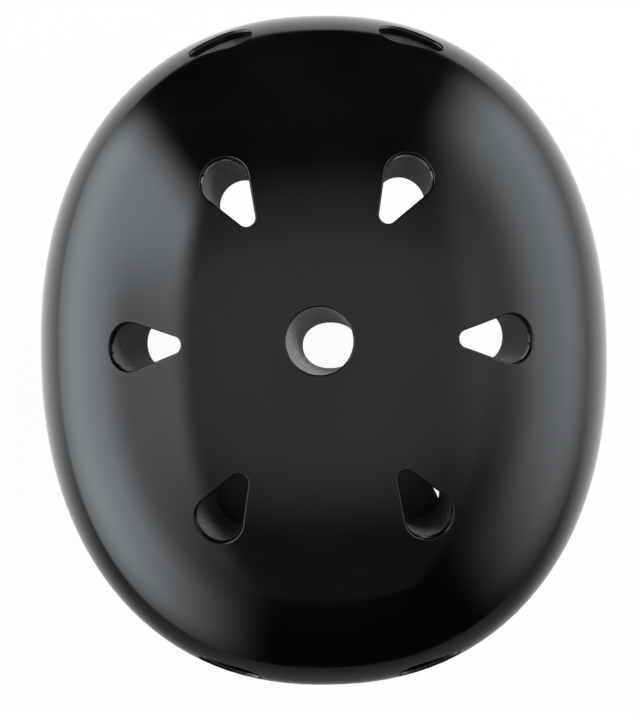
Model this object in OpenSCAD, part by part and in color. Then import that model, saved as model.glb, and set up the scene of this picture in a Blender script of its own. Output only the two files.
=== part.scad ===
// Bucket style cycling helmet with eleven vents, foam liner, comfort pads,
// webbing straps with a side release buckle, and a dial operated fit cradle.
// Millimetres. The wearer looks along -Y, the wearer's left is +X, up is +Z.
// The origin is the centre of the head cavity at the widest level of the shell.

/* [Shell] */
// Outside width over the ears
shell_width = 230; // [224:1:238]
// Outside length from brow to nape
shell_length = 272; // [264:1:282]
// Height of the crown above the widest level
crown_height = 98; // [94:1:104]
// Wall of the hard shell
shell_wall = 3; // [2.4:0.2:3.6]
// Squareness of the outline seen from above, where 2 is an ellipse
outline_power = 2.23; // [2.1:0.01:2.35]
// Fullness of the dome seen from the side, where 2 is an ellipse
dome_power = 2.3; // [2.2:0.02:2.4]
// Drop of the brow edge below the widest level
brow_drop = 12; // [9:1:15]
// Drop of the edge at the temples
temple_drop = 30; // [27:1:33]
// Drop of the edge over the ears
ear_drop = 16; // [13:1:18]
// Drop of the edge behind the ears
mastoid_drop = 50; // [46:1:52]
// Drop of the edge at the nape
nape_drop = 58; // [54:1:62]
// How far the shell draws in at the nape edge, as a share of its reach
edge_tuck = 0.035; // [0.02:0.005:0.05]

/* [Vents] */
// Radius of the round vent at the crown
crown_vent_r = 12.5; // [11:0.5:13.5]
// Radius of the round end of the ring and brow vents
vent_round_r = 9.25; // [8.75:0.05:9.8]
// Radius of the narrow end of the ring vents
vent_tip_r = 3.3; // [2.6:0.1:3.6]
// Distance between the two ends' centres on a side ring vent
vent_length_side = 18.6; // [17.6:0.2:19.6]
// Distance between the two ends' centres on a front ring vent
vent_length_front = 17.6; // [16.6:0.2:18.6]
// Distance between the two ends' centres on a rear ring vent
vent_length_rear = 17; // [16:0.2:18]
// Distance of the front ring vents from the crown axis
vent_ring_front = 62.5; // [61:0.5:64]
// Distance of the side ring vents from the crown axis
vent_ring_side = 64.2; // [62:0.2:65]
// Distance of the rear ring vents from the crown axis
vent_ring_rear = 68.9; // [67:0.1:71]
// Distance between the ends' centres on a brow or nape vent
slot_length = 10; // [8:0.5:12]
// Radius of the outer end of a brow or nape vent
slot_tip_r = 6.6; // [6:0.2:7.6]
// Level of the brow vents
brow_vent_level = 42; // [38:1:45]
// Level of the nape vents
nape_vent_level = 24; // [20:1:28]
// Angle of the brow and nape vents from the middle plane
slot_turn = 18; // [16:1:20]

/* [Liner and pads] */
// Thickness of the foam liner
liner_wall = 24; // [22:0.5:25]
// How much wider the liner's channels are than the shell's vents
channel_margin = 0.8; // [0.4:0.1:1.2]
// Thickness of the comfort pads
pad_thick = 8; // [6:0.5:9]
// Radius of the crown pad
crown_pad_r = 35; // [32:1:38]
// Radius of the ends of the crown pad's hole
crown_pad_hole_r = 8.5; // [7.5:0.5:9.5]
// Radius of a hook and loop dot
dot_r = 6; // [5:0.5:7]

/* [Straps] */
// Width of the webbing
webbing_width = 16; // [14:1:18]
// Thickness of the webbing
webbing_thick = 1.6; // [1.2:0.1:1.8]
// Angle of the front strap rivets, counted from the brow
front_rivet_turn = 62; // [58:1:66]
// Angle of the rear strap rivets, counted from the brow
rear_rivet_turn = 122; // [118:1:126]
// Height of the rivets over the shell's edge
rivet_rise = 14; // [12:1:16]
// Radius of a rivet's shank
rivet_shank_r = 2; // [1.6:0.1:2.4]
// Radius of a rivet's head and of its washer
rivet_head_r = 5.5; // [4.5:0.5:6.5]
// Distance of each strap divider from the middle plane
divider_x = 87; // [84:1:90]
// Distance of the dividers in front of the crown axis
divider_forward = 33; // [29:1:36]
// Drop of the dividers below the widest level
divider_drop = 102; // [96:1:108]
// Drop of the buckle below the dividers
loop_drop = 66; // [60:1:72]

/* [Buckle] */
// Width of the buckle across the webbing
buckle_width = 25; // [24:0.5:28]
// Thickness of the buckle
buckle_thick = 8; // [7.4:0.2:9]
// Length of the buckle's socket
socket_length = 22; // [21:0.5:24]
// Wall of the buckle's socket
socket_wall = 1.7; // [1.5:0.1:1.8]
// Radius of the bars that the webbing turns round
bar_r = 1.6; // [1.4:0.1:1.8]
// Inward travel of a squeezed prong, in degrees
prong_travel = 7; // [5:0.5:7.5]

/* [Fit cradle] */
// Radius of the fit dial
dial_r = 14; // [12:0.5:15]
// Depth of the fit dial
dial_depth = 8; // [7:0.5:9]
// Width of the cradle housing
housing_width = 60; // [56:1:64]
// Height of the cradle housing
housing_height = 30; // [29:1:34]
// Number of teeth on the pinion
pinion_teeth = 10; // [10:2:12]
// Tooth module of the pinion and the racks
tooth_module = 0.8; // [0.7:0.05:0.85]
// Travel of each rack
rack_travel = 16; // [12:1:17]
// Width of the cradle's side bands
band_width = 11; // [9:1:12]
// Thickness of the bands and arms
strip_thick = 1.6; // [1.3:0.1:1.8]
// Width of the cradle's arms
arm_width = 15; // [14:0.5:16]
// Spacing of the height sockets in the arms
hole_pitch = 8; // [7:0.5:9]
// Radius of the height sockets
hole_r = 1.4; // [1.2:0.1:1.6]

/* [Hidden] */
$fn = 48;

// Clearances
layer_gap = 0.3;
running_gap = 0.05;
soft_gap = 0.3;

// Facets of the shell and the liner
columns = 56;
dome_rings = 10;
skirt_rings = 3;
pad_columns = 32;

half_width = shell_width / 2;
half_length = shell_length / 2;
liner_inset = shell_wall + layer_gap;
cavity_inset = liner_inset + liner_wall;
front_turn = -90;

function unit(v) = v / norm(v);
function smooth(t) = t * t * (3 - 2 * t);
function signed_power(v, power) = sign(v) * pow(abs(v), power);

// Distance from the crown axis to the outline at an angle
function plan_reach(angle, inset) = pow(
  pow(abs(cos(angle)) / (half_width - inset), outline_power)
  + pow(abs(sin(angle)) / (half_length - inset), outline_power), -1 / outline_power);

// Share of the outline that is left at a level
function level_share(level, inset) = level >= 0
  ? pow(1 - pow(min(level / (crown_height - inset), 1), dome_power), 1 / dome_power)
  : 1 - edge_tuck * pow(level / nape_drop, 2);

function wall_point(angle, level, inset) =
  let (reach = level_share(level, inset) * plan_reach(angle, inset))
  [reach * cos(angle), reach * sin(angle), level];

// Outward normal of the wall
function wall_normal(angle, level, inset) =
  unit(cross(
    wall_point(angle + 1, level, inset) - wall_point(angle - 1, level, inset),
    wall_point(angle, level + 1, inset) - wall_point(angle, level - 1, inset)));

// Height of the dome over a point in plan
function dome_height(x, y, inset) =
  let (share = pow(pow(abs(x) / (half_width - inset), outline_power)
    + pow(abs(y) / (half_length - inset), outline_power), 1 / outline_power))
  (crown_height - inset) * pow(1 - pow(share, dome_power), 1 / dome_power);

// Level of the shell's lower edge at an angle from the brow
edge_marks = [[0, -brow_drop], [50, -temple_drop], [86, -ear_drop], [128, -mastoid_drop], [180, -nape_drop]];
function edge_level(turn) =
  let (side = turn > 180 ? 360 - turn : turn,
    step = [for (i = [0:len(edge_marks) - 2]) if (side <= edge_marks[i + 1][0]) i][0],
    from = edge_marks[step],
    to = edge_marks[step + 1])
  from[1] + (to[1] - from[1]) * smooth((side - from[0]) / (to[0] - from[0]));

// One ring of points round the dome, from 0 degrees at the crown to 90 at the widest level
function dome_ring(lean, inset) = [for (i = [0:columns - 1])
  let (angle = front_turn + 360 * i / columns,
    reach = pow(sin(lean), 2 / dome_power) * plan_reach(angle, inset))
  [reach * cos(angle), reach * sin(angle), (crown_height - inset) * pow(cos(lean), 2 / dome_power)]];

// One ring between the widest level and the edge, raised a little at the edge
function skirt_ring(share, inset, rise) = [for (i = [0:columns - 1])
  let (turn = 360 * i / columns)
  wall_point(front_turn + turn, (edge_level(turn) + rise) * share, inset)];

// The rings of one face of a layer, from the crown to the edge
function face_rings(inset, rise) = concat(
  [for (i = [1:dome_rings]) dome_ring(90 * i / dome_rings, inset)],
  [for (i = [1:skirt_rings]) skirt_ring(i / skirt_rings, inset, rise)]);

function reversed(list) = [for (i = [len(list) - 1:-1:0]) list[i]];

// A closed solid from a tip, rings of equal counts and another tip
module ring_solid(tip, rings, last_tip) {
  count = len(rings[0]);
  points = concat([tip], [for (ring = rings) each ring], [last_tip]);
  last = len(points) - 1;
  last_ring = 1 + (len(rings) - 1) * count;
  faces = concat(
    [for (i = [0:count - 1]) [0, 1 + (i + 1) % count, 1 + i]],
    [for (r = [0:len(rings) - 2]) for (i = [0:count - 1])
      let (here = 1 + r * count, next = 1 + (r + 1) * count, j = (i + 1) % count)
      each [[here + i, here + j, next + j], [here + i, next + j, next + i]]],
    [for (i = [0:count - 1]) [last_ring + i, last_ring + (i + 1) % count, last]]);
  polyhedron(points, faces, convexity = 6);
}

// A closed solid through cross sections of equal counts
module loft(sections) {
  count = len(sections[0]);
  points = [for (section = sections) each section];
  top = (len(sections) - 1) * count;
  faces = concat(
    [[for (i = [0:count - 1]) i]],
    [[for (i = [count - 1:-1:0]) top + i]],
    [for (s = [0:len(sections) - 2]) for (i = [0:count - 1])
      let (here = s * count, next = here + count, j = (i + 1) % count)
      each [[here + i, next + i, next + j], [here + i, next + j, here + j]]]);
  polyhedron(points, faces, convexity = 6);
}

// A route is a list of stations, each a point and the direction that the strip's face looks in
function cut_corners(route, rounds) = rounds == 0 ? route :
  cut_corners(concat([route[0]],
    [for (i = [0:len(route) - 2])
      each [route[i] * 0.75 + route[i + 1] * 0.25, route[i] * 0.25 + route[i + 1] * 0.75]],
    [route[len(route) - 1]]), rounds - 1);

function strip_section(route, i, width, thick) =
  let (last = len(route) - 1,
    along = unit(route[min(i + 1, last)][0] - route[max(i - 1, 0)][0]),
    across = unit(cross(route[i][1], along)),
    out = unit(cross(along, across)),
    w = across * width / 2,
    t = out * thick / 2,
    p = route[i][0])
  [p + w + t, p - w + t, p - w - t, p + w - t];

// A flat strip along a route, whose width may change evenly from start to end
module strip(route, start_width, end_width, thick) {
  last = len(route) - 1;
  loft([for (i = [0:last])
    strip_section(route, i, start_width + (end_width - start_width) * i / last, thick)]);
}

// Places children on the wall with their Z along its outward normal
module on_wall(angle, level, inset) {
  normal = wall_normal(angle, level, inset);
  translate(wall_point(angle, level, inset))
    rotate([0, acos(normal[2]), atan2(normal[1], normal[0])]) children();
}

module both_sides() {
  children();
  mirror([1, 0, 0]) children();
}

// Vents
slot_round_r = 9.4;
cut_out = 14;
cut_in = 46;
module teardrop_cut(round_r, tip_r, length) {
  lean = asin((round_r - tip_r) / length);
  depth = cut_out + cut_in;
  translate([length / 2, 0, -cut_in]) cylinder(r = round_r, h = depth);
  translate([-length / 2, 0, -cut_in]) cylinder(r = tip_r, h = depth);
  translate([0, 0, -cut_in]) linear_extrude(depth) polygon([
    [length / 2 - round_r * sin(lean), round_r * cos(lean)],
    [-length / 2 - tip_r * sin(lean), tip_r * cos(lean)],
    [-length / 2 - tip_r * sin(lean), -tip_r * cos(lean)],
    [length / 2 - round_r * sin(lean), -round_r * cos(lean)]]);
}

// Stands on the dome over a point in plan, X pointing down the slope
module on_dome(angle, reach, inset) {
  high = dome_height((reach - 1) * cos(angle), (reach - 1) * sin(angle), inset);
  low = dome_height((reach + 1) * cos(angle), (reach + 1) * sin(angle), inset);
  translate([reach * cos(angle), reach * sin(angle), (high + low) / 2])
    rotate([0, atan((high - low) / 2), angle]) children();
}

// Three teardrops on each side, each with its turn from the brow, its distance from the crown,
// its length, and how far its channel leans outwards and backwards on the way through the liner
ring_vents = [[29.5, vent_ring_front, vent_length_front, [0, -1.6]],
  [90, vent_ring_side, vent_length_side, [2.4, -2]],
  [149, vent_ring_rear, vent_length_rear, [-1.4, -2.1]]];

module ring_vent_cuts() {
  both_sides() for (vent = ring_vents) on_dome(front_turn + vent[0], vent[1], 0)
    teardrop_cut(vent_round_r, vent_tip_r, vent[2]);
}

// Channels that narrow on their way in and all drift a little to the wearer's right
channel_taper = 0.93;
channel_drift = -1.4;
round_steps = 20;
tip_steps = 8;

function teardrop_ring(length, share, shift, level) =
  let (round_r = vent_round_r + channel_margin,
    tip_r = vent_tip_r + channel_margin,
    lean = asin((round_r - tip_r) / length))
  concat(
    [for (i = [0:round_steps]) let (turn = (90 + lean) * (2 * i / round_steps - 1))
      [share * (length / 2 + round_r * cos(turn)) + shift[0], share * round_r * sin(turn) + shift[1], level]],
    [for (i = [0:tip_steps]) let (turn = 90 + lean + (180 - 2 * lean) * i / tip_steps)
      [share * (tip_r * cos(turn) - length / 2) + shift[0], share * tip_r * sin(turn) + shift[1], level]]);

module ring_vent_channel(vent, drift) {
  angle = front_turn + vent[0];
  lean = vent[3] + [drift, 0];
  local_lean = [lean[0] * cos(angle) + lean[1] * sin(angle), lean[1] * cos(angle) - lean[0] * sin(angle)];
  reach = (cut_in - liner_inset) / liner_wall;
  on_dome(angle, vent[1], 0)
    ring_solid([0, 0, liner_inset], [teardrop_ring(vent[2], 1, [0, 0], liner_inset),
      teardrop_ring(vent[2], 1, [0, 0], -liner_inset),
      teardrop_ring(vent[2], 1 - (1 - channel_taper) * reach, local_lean * reach, -cut_in)],
      [local_lean[0] * reach, local_lean[1] * reach, -cut_in]);
}

module ring_vent_channels() {
  for (vent = ring_vents) {
    ring_vent_channel(vent, channel_drift);
    mirror([1, 0, 0]) ring_vent_channel(vent, -channel_drift);
  }
}

module slot_vent_cuts(margin) {
  both_sides() {
    on_wall(front_turn + slot_turn, brow_vent_level, 0) rotate(-90)
      teardrop_cut(slot_round_r + margin, slot_tip_r + margin, slot_length);
    on_wall(-front_turn - slot_turn, nape_vent_level, 0) rotate(90)
      teardrop_cut(slot_round_r + margin, slot_tip_r + margin, slot_length);
  }
}

// The crown channel narrows from the round vent to an oval hole a little to the right
crown_hole_middle = [-3.8, 0.7];
crown_hole_spread = 1.9;
crown_hole_depth = 9;
function crown_hole_ring(margin, level) = [for (i = [0:pad_columns - 1])
  let (turn = 360 * (i + 0.5) / pad_columns, r = crown_pad_hole_r + margin)
  [crown_hole_middle[0] + sign(cos(turn)) * crown_hole_spread + r * cos(turn),
    crown_hole_middle[1] + r * sin(turn), level]];
function crown_vent_ring(level) = [for (i = [0:pad_columns - 1])
  let (turn = 360 * (i + 0.5) / pad_columns, r = crown_vent_r + channel_margin)
  [r * cos(turn), r * sin(turn), level]];

module crown_channel() {
  low = crown_height - cavity_inset - 1;
  end = low - crown_hole_depth;
  ring_solid([0, 0, crown_height + 1],
    [crown_vent_ring(crown_height + 1), crown_vent_ring(crown_height - shell_wall),
      crown_hole_ring(0, low), crown_hole_ring(0, end)],
    [crown_hole_middle[0], crown_hole_middle[1], end]);
}

// Rivets and the pockets that the strap ends lie in
strap_stand_off = 0.9;
strap_inset = shell_wall + strap_stand_off + webbing_thick / 2;
washer_thick = 0.8;
washer_inset = strap_inset + webbing_thick / 2 + 0.7;
rivet_turns = [front_rivet_turn, rear_rivet_turn];
strap_pocket_depth = washer_inset + washer_thick + 2;
strap_overlap = 9;
pocket_side = 4.2;

function rivet_level(turn) = edge_level(turn) + rivet_rise;

module at_rivets() {
  for (turn = rivet_turns) both_sides()
    on_wall(front_turn + turn, rivet_level(turn), 0) children();
}

// Shell
lip_rings = [[0.3, -1.1], [1.5, -1.6], [2.7, -1.1]];
module outer_shell() {
  lip = [for (step = lip_rings) skirt_ring(1, step[0] * shell_wall / 3, step[1])];
  color([0.03, 0.03, 0.035]) difference() {
    ring_solid([0, 0, crown_height],
      concat(face_rings(0, 0), lip, reversed(face_rings(shell_wall, 0))),
      [0, 0, crown_height - shell_wall]);
    translate([0, 0, crown_height - cut_in]) cylinder(r = crown_vent_r, h = cut_in + cut_out);
    ring_vent_cuts();
    slot_vent_cuts(0);
    at_rivets() translate([0, 0, -strap_pocket_depth])
      cylinder(r = rivet_shank_r + running_gap, h = 2 * strap_pocket_depth);
  }
}

// Liner
liner_lip = [[4, 0.6], [liner_wall / 2, 0], [liner_wall - 5, 0.8]];
pin_r = 2;
pin_depth = 9;
temple_angle = -36;
temple_level = -11;
module at_temple_pins() { both_sides() on_wall(temple_angle, temple_level, cavity_inset) children(); }
module at_arm_pins() { both_sides() on_arm(0) children(); }

module foam_liner() {
  lip = [for (step = liner_lip) skirt_ring(1, liner_inset + step[0], step[1])];
  color([0.12, 0.12, 0.12]) difference() {
    ring_solid([0, 0, crown_height - liner_inset],
      concat(face_rings(liner_inset, 2), lip, reversed(face_rings(cavity_inset, 4))),
      [0, 0, crown_height - cavity_inset]);
    crown_channel();
    ring_vent_channels();
    slot_vent_cuts(channel_margin);
    at_rivets() translate([-strap_overlap - 1.5, -webbing_width / 2 - pocket_side, -strap_pocket_depth])
      cube([rivet_rise + strap_overlap + 24, webbing_width + 2 * pocket_side, strap_pocket_depth]);
    at_temple_pins() translate([0, 0, -1]) cylinder(r = pin_r + running_gap, h = pin_depth + 1.4);
    at_arm_pins() translate([0, 0, -1]) cylinder(r = pin_r + running_gap, h = pin_depth + 1.4);
  }
}

// Comfort pads
dot_thick = 1;
pad_inset = cavity_inset + 2;
pad_profile = [[0.35, 0.98], [0.65, 0.93], [0.85, 0.78], [0.96, 0.52],
  [1, 0.24], [0.97, 0], [0.66, 0], [0.35, 0]];
pad_squareness = 0.62;
// Each wall pad: middle angle, half angle, middle level, half height
brow_pad_place = [-90, 46, 4, 12];
side_pad_place = [4, 30, 20, 18];
rear_pad_place = [90, 9, 4, 22];

function pad_point(place, share, turn, depth) = wall_point(
  place[0] + place[1] * share * signed_power(cos(turn), pad_squareness),
  place[2] + place[3] * share * signed_power(sin(turn), pad_squareness), pad_inset + depth);

module wall_pad(place) {
  rings = [for (step = pad_profile) [for (i = [0:pad_columns - 1])
    pad_point(place, step[0], -360 * i / pad_columns, step[1] * pad_thick)]];
  ring_solid(pad_point(place, 0, 0, pad_thick), rings, pad_point(place, 0, 0, 0));
}

module brow_pad() { color([0.1, 0.1, 0.11]) wall_pad(brow_pad_place); }
module side_pad_left() { color([0.1, 0.1, 0.11]) wall_pad(side_pad_place); }
module side_pad_right() { mirror([1, 0, 0]) side_pad_left(); }
module rear_pad() { color([0.1, 0.1, 0.11]) wall_pad(rear_pad_place); }

function crown_pad_point(share, turn, depth) =
  let (x = crown_pad_r * share * cos(turn), y = crown_pad_r * share * sin(turn))
  [x, y, dome_height(x, y, pad_inset + depth)];

pad_hole_margin = 1.2;
module crown_pad() {
  rings = [for (step = pad_profile) [for (i = [0:pad_columns - 1])
    crown_pad_point(step[0], -360 * i / pad_columns, step[1] * pad_thick)]];
  color([0.1, 0.1, 0.11]) difference() {
    ring_solid([0, 0, crown_height - pad_inset - pad_thick], rings, [0, 0, crown_height - pad_inset]);
    ring_solid([crown_hole_middle[0], crown_hole_middle[1], crown_height],
      [crown_hole_ring(pad_hole_margin, crown_height), crown_hole_ring(pad_hole_margin, 0)],
      [crown_hole_middle[0], crown_hole_middle[1], 0]);
  }
}

dot_turns = [45, 135, 225, 315];
crown_dot_reach = crown_pad_r - dot_r - 4;
module dot() { cylinder(r = dot_r, h = dot_thick); }
module hook_dots() {
  dot_sink = 0.9 + dot_thick;
  color([0.2, 0.2, 0.2]) {
    for (angle = [-32, 0, 32]) on_wall(front_turn + angle, brow_pad_place[2], cavity_inset)
      translate([0, 0, -dot_sink]) dot();
    both_sides() for (angle = [-14, 22]) on_wall(angle, side_pad_place[2], cavity_inset)
      translate([0, 0, -dot_sink]) dot();
    for (level = [-8, 16]) on_wall(-front_turn, level, cavity_inset) translate([0, 0, -dot_sink]) dot();
    for (turn = dot_turns) on_dome(turn, crown_dot_reach, cavity_inset)
      translate([0, 0, -dot_sink + 0.2]) dot();
  }
}

// Strap rivets
rivet_length = washer_inset + washer_thick + 0.4;
rivet_head_thick = 1.4;
module strap_rivets() {
  color([0.35, 0.35, 0.37]) at_rivets() {
    translate([0, 0, -rivet_length]) cylinder(r = rivet_shank_r, h = rivet_length + 1);
    translate([0, 0, 0.3]) cylinder(r1 = rivet_head_r, r2 = rivet_head_r - 1.6, h = rivet_head_thick);
  }
}

module rivet_washers() {
  color([0.5, 0.5, 0.52]) at_rivets() difference() {
    translate([0, 0, -washer_inset - washer_thick]) cylinder(r = rivet_head_r, h = washer_thick);
    translate([0, 0, -2 * washer_inset]) cylinder(r = rivet_shank_r + running_gap, h = 2 * washer_inset);
  }
}

// Straps from the rivets to the dividers
pivot = [divider_x, -divider_forward, -divider_drop];
strap_start_r = webbing_width / 2 + 5;
strap_bend_r = strap_start_r + 12;

function strap_direction(turn) =
  let (edge = wall_point(front_turn + turn, edge_level(turn) - 2, strap_inset))
  unit([0, edge[1] - pivot[1], edge[2] - pivot[2]]);

function strap_route(turn) =
  let (angle = front_turn + turn,
    way = strap_direction(turn),
    out = wall_normal(angle, edge_level(turn), 0))
  [[wall_point(angle, rivet_level(turn) + strap_overlap, strap_inset), out],
    [wall_point(angle, edge_level(turn) - 2, strap_inset), out],
    [pivot + way * strap_bend_r, [1, 0, 0]],
    [pivot + way * strap_start_r, [1, 0, 0]]];

module v_strap(turn) {
  color([0.07, 0.07, 0.08]) difference() {
    strip(cut_corners(strap_route(turn), 2), webbing_width, webbing_width, webbing_thick);
    on_wall(front_turn + turn, rivet_level(turn), 0) translate([0, 0, -2 * rivet_length])
      cylinder(r = rivet_shank_r + running_gap, h = 2 * rivet_length);
  }
}

module front_strap_left() { v_strap(front_rivet_turn); }
module front_strap_right() { mirror([1, 0, 0]) front_strap_left(); }
module rear_strap_left() { v_strap(rear_rivet_turn); }
module rear_strap_right() { mirror([1, 0, 0]) rear_strap_left(); }

// Strap dividers, with the pin that the chin strap turns on
swing_forward = 45;
swing_back = 35;
divider_plate = 1.5;
divider_thick = webbing_thick + 2 * soft_gap + 2 * divider_plate;
divider_r = webbing_width / 2 + 4;
divider_arm = strap_start_r + 7;

// Turns a drawing in X and Y so that X points along a direction in the strap plane
module in_strap_plane(way) {
  translate(pivot)
    multmatrix([[0, 0, 1, 0], [way[1], -way[2], 0, 0], [way[2], way[1], 0, 0], [0, 0, 0, 1]]) children();
}

function swing_way(swing) = [0, sin(swing), -cos(swing)];

module divider_left() {
  pocket = webbing_thick + 2 * soft_gap;
  color([0.05, 0.05, 0.05]) {
    difference() {
      union() {
        translate(pivot) rotate([0, 90, 0]) cylinder(r = divider_r, h = divider_thick, center = true);
        for (turn = rivet_turns) in_strap_plane(strap_direction(turn))
          translate([0, -webbing_width / 2 - 2, -divider_thick / 2])
            cube([divider_arm, webbing_width + 4, divider_thick]);
      }
      for (turn = rivet_turns) in_strap_plane(strap_direction(turn))
        translate([strap_start_r - soft_gap, -webbing_width / 2 - soft_gap, -pocket / 2])
          cube([divider_arm, webbing_width + 2 * soft_gap, pocket]);
      translate(pivot) rotate([0, 90, 0])
        cylinder(r = webbing_width / 2 + soft_gap, h = pocket, center = true);
      for (swing = [-swing_forward, -18, 9, swing_back]) in_strap_plane(swing_way(swing))
        translate([0, -webbing_width / 2 - soft_gap, -pocket / 2])
          cube([2 * divider_r, webbing_width + 2 * soft_gap, pocket]);
    }
    translate(pivot) rotate([0, 90, 0])
      cylinder(r = rivet_shank_r, h = pocket + divider_plate, center = true);
  }
}

module divider_right() { mirror([1, 0, 0]) divider_left(); }

// Chin loop, which hangs in the plane of the dividers' pins
buckle_z = -divider_drop - loop_drop;
eye_r = bar_r + soft_gap + webbing_thick;
eye_mid = bar_r + soft_gap + webbing_thick / 2;
bar_x = socket_length + eye_r + soft_gap;
slope_drop = 22;
slope_stop = 9;
straight_from = 8;
tail_room = 2.4;
slope_top = [divider_x, pivot[1], pivot[2] - slope_drop];
slope_end = [bar_x + slope_stop, pivot[1], buckle_z + eye_mid + 1.5];
bar_top = [bar_x, pivot[1], buckle_z + eye_mid];
bar_bottom = [bar_x, pivot[1], buckle_z - eye_mid];
slope_way = unit(slope_end - slope_top);
slope_out = [-slope_way[2], 0, slope_way[0]];
layer_step = webbing_thick + soft_gap;
keeper_middle = 0.52;

chin_route = [[pivot, [1, 0, 0]], [slope_top, [1, 0, 0]],
  [slope_top + slope_way * straight_from, slope_out], [slope_end - slope_way * straight_from, slope_out],
  [slope_end, [0, 0, -1]], [bar_top, [0, 0, -1]]];

// The free end turns back under the bar and lies along the outside of the strap
function tail_route(share) =
  let (start = slope_end * share + slope_top * (1 - share) + slope_out * layer_step,
    outer_end = slope_end + slope_out * layer_step,
    corner = [bar_x + eye_r + soft_gap + frame_wall + tail_room, pivot[1], bar_bottom[2]])
  [[start, slope_out], [outer_end - slope_way * straight_from, slope_out],
    [corner, [0, 0, -1]], [bar_bottom, [0, 0, -1]]];

module chin_strap(tail_share) {
  color([0.07, 0.07, 0.08]) {
    difference() {
      union() {
        translate(pivot) rotate([0, 90, 0]) cylinder(r = webbing_width / 2, h = webbing_thick, center = true);
        strip(cut_corners(chin_route, 2), webbing_width, webbing_width, webbing_thick);
      }
      translate(pivot) rotate([0, 90, 0])
        cylinder(r = rivet_shank_r + running_gap, h = 4 * webbing_thick, center = true);
    }
    strip(cut_corners(tail_route(tail_share), 2), webbing_width, webbing_width, webbing_thick);
    translate([bar_x, pivot[1] + webbing_width / 2, buckle_z]) rotate([90, 0, 0]) difference() {
      cylinder(r = eye_r, h = webbing_width);
      translate([0, 0, -1]) cylinder(r = bar_r + soft_gap, h = webbing_width + 2);
      translate([0, -2 * eye_r, -1]) cube([2 * eye_r, 4 * eye_r, webbing_width + 2]);
    }
  }
}

module chin_strap_left() { chin_strap(0.3); }
module chin_strap_right() { mirror([1, 0, 0]) chin_strap(0.72); }

// Rubber keeper on the sloping stretch, round the strap and its free end
keeper_wall = 1.3;
keeper_height = 6;
module strap_keeper() {
  middle = slope_end * keeper_middle + slope_top * (1 - keeper_middle) + slope_out * layer_step / 2;
  inner = [keeper_height, webbing_width + 2 * soft_gap, webbing_thick + layer_step + 2 * soft_gap];
  outer = inner + [0, 2 * keeper_wall, 2 * keeper_wall];
  color([0.04, 0.04, 0.04]) translate(middle) rotate([0, -atan2(slope_way[2], slope_way[0]), 0])
    difference() {
      cube(outer, center = true);
      cube([2 * inner[0], inner[1], inner[2]], center = true);
    }
}

// Buckle, drawn with its middle at the origin and the socket towards +X
mouth_x = -2;
cavity_width = buckle_width - 2 * socket_wall;
cavity_thick = buckle_thick - 2 * socket_wall;
prong_thick = cavity_thick - 2 * soft_gap;
prong_root_x = -11;
prong_root_y = cavity_width / 2 - 3.6;
prong_root_r = 2;
prong_swing_room = prong_root_r - prong_root_x * sin(prong_travel) + 2 * soft_gap;
window_start = 5;
window_end = 15.5;
guide_width = 3.4;
frame_wall = 2;
corner_r = 2.5;

module at_buckle() { translate([0, pivot[1], buckle_z]) children(); }

module rounded_plate(size, radius, thick) {
  linear_extrude(thick, center = true) {
    square([size[0] - 2 * radius, size[1]], center = true);
    square([size[0], size[1] - 2 * radius], center = true);
    for (x = [-1, 1]) for (y = [-1, 1])
      translate([x * (size[0] / 2 - radius), y * (size[1] / 2 - radius)]) circle(radius);
  }
}

// The frame with its bar, beyond a body that ends at from_x
module bar_frame(from_x) {
  reach = bar_x + eye_r + soft_gap;
  difference() {
    translate([from_x - 1, -buckle_width / 2, -bar_r])
      cube([reach - from_x + frame_wall + 1, buckle_width, 2 * bar_r]);
    translate([bar_x - eye_r - soft_gap, -webbing_width / 2 - soft_gap, -buckle_thick])
      cube([2 * (eye_r + soft_gap), webbing_width + 2 * soft_gap, 2 * buckle_thick]);
  }
  translate([bar_x, 0, 0]) rotate([90, 0, 0]) cylinder(r = bar_r, h = webbing_width + 3, center = true);
}

module buckle_socket() {
  color([0.05, 0.05, 0.05]) at_buckle() {
    difference() {
      translate([(mouth_x + socket_length) / 2, 0, 0])
        rounded_plate([socket_length - mouth_x, buckle_width], corner_r, buckle_thick);
      translate([mouth_x - 1, -cavity_width / 2, -cavity_thick / 2])
        cube([socket_length - mouth_x - frame_wall + 1, cavity_width, cavity_thick]);
      translate([window_start, -buckle_width, -cavity_thick / 2])
        cube([window_end - window_start, 2 * buckle_width, cavity_thick]);
    }
    bar_frame(socket_length);
  }
}

module buckle_plug() {
  base_end = mouth_x - soft_gap;
  base_start = -socket_length + 1;
  color([0.05, 0.05, 0.05]) at_buckle() {
    difference() {
      translate([(base_start + base_end) / 2, 0, 0])
        rounded_plate([base_end - base_start, buckle_width], corner_r, buckle_thick);
      for (side = [0, 1]) mirror([0, side, 0]) {
        translate([prong_root_x, prong_root_y, 0])
          cylinder(r = prong_root_r + running_gap, h = prong_thick + 2 * soft_gap, center = true);
        translate([prong_root_x, prong_root_y - prong_swing_room, -prong_thick / 2 - soft_gap])
          cube([-prong_root_x, prong_swing_room + prong_root_r + soft_gap, prong_thick + 2 * soft_gap]);
      }
    }
    translate([prong_root_x, -guide_width / 2, -prong_thick / 2])
      cube([socket_length - prong_root_x - 8, guide_width, prong_thick]);
    mirror([1, 0, 0]) bar_frame(socket_length - 1);
  }
}

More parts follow.
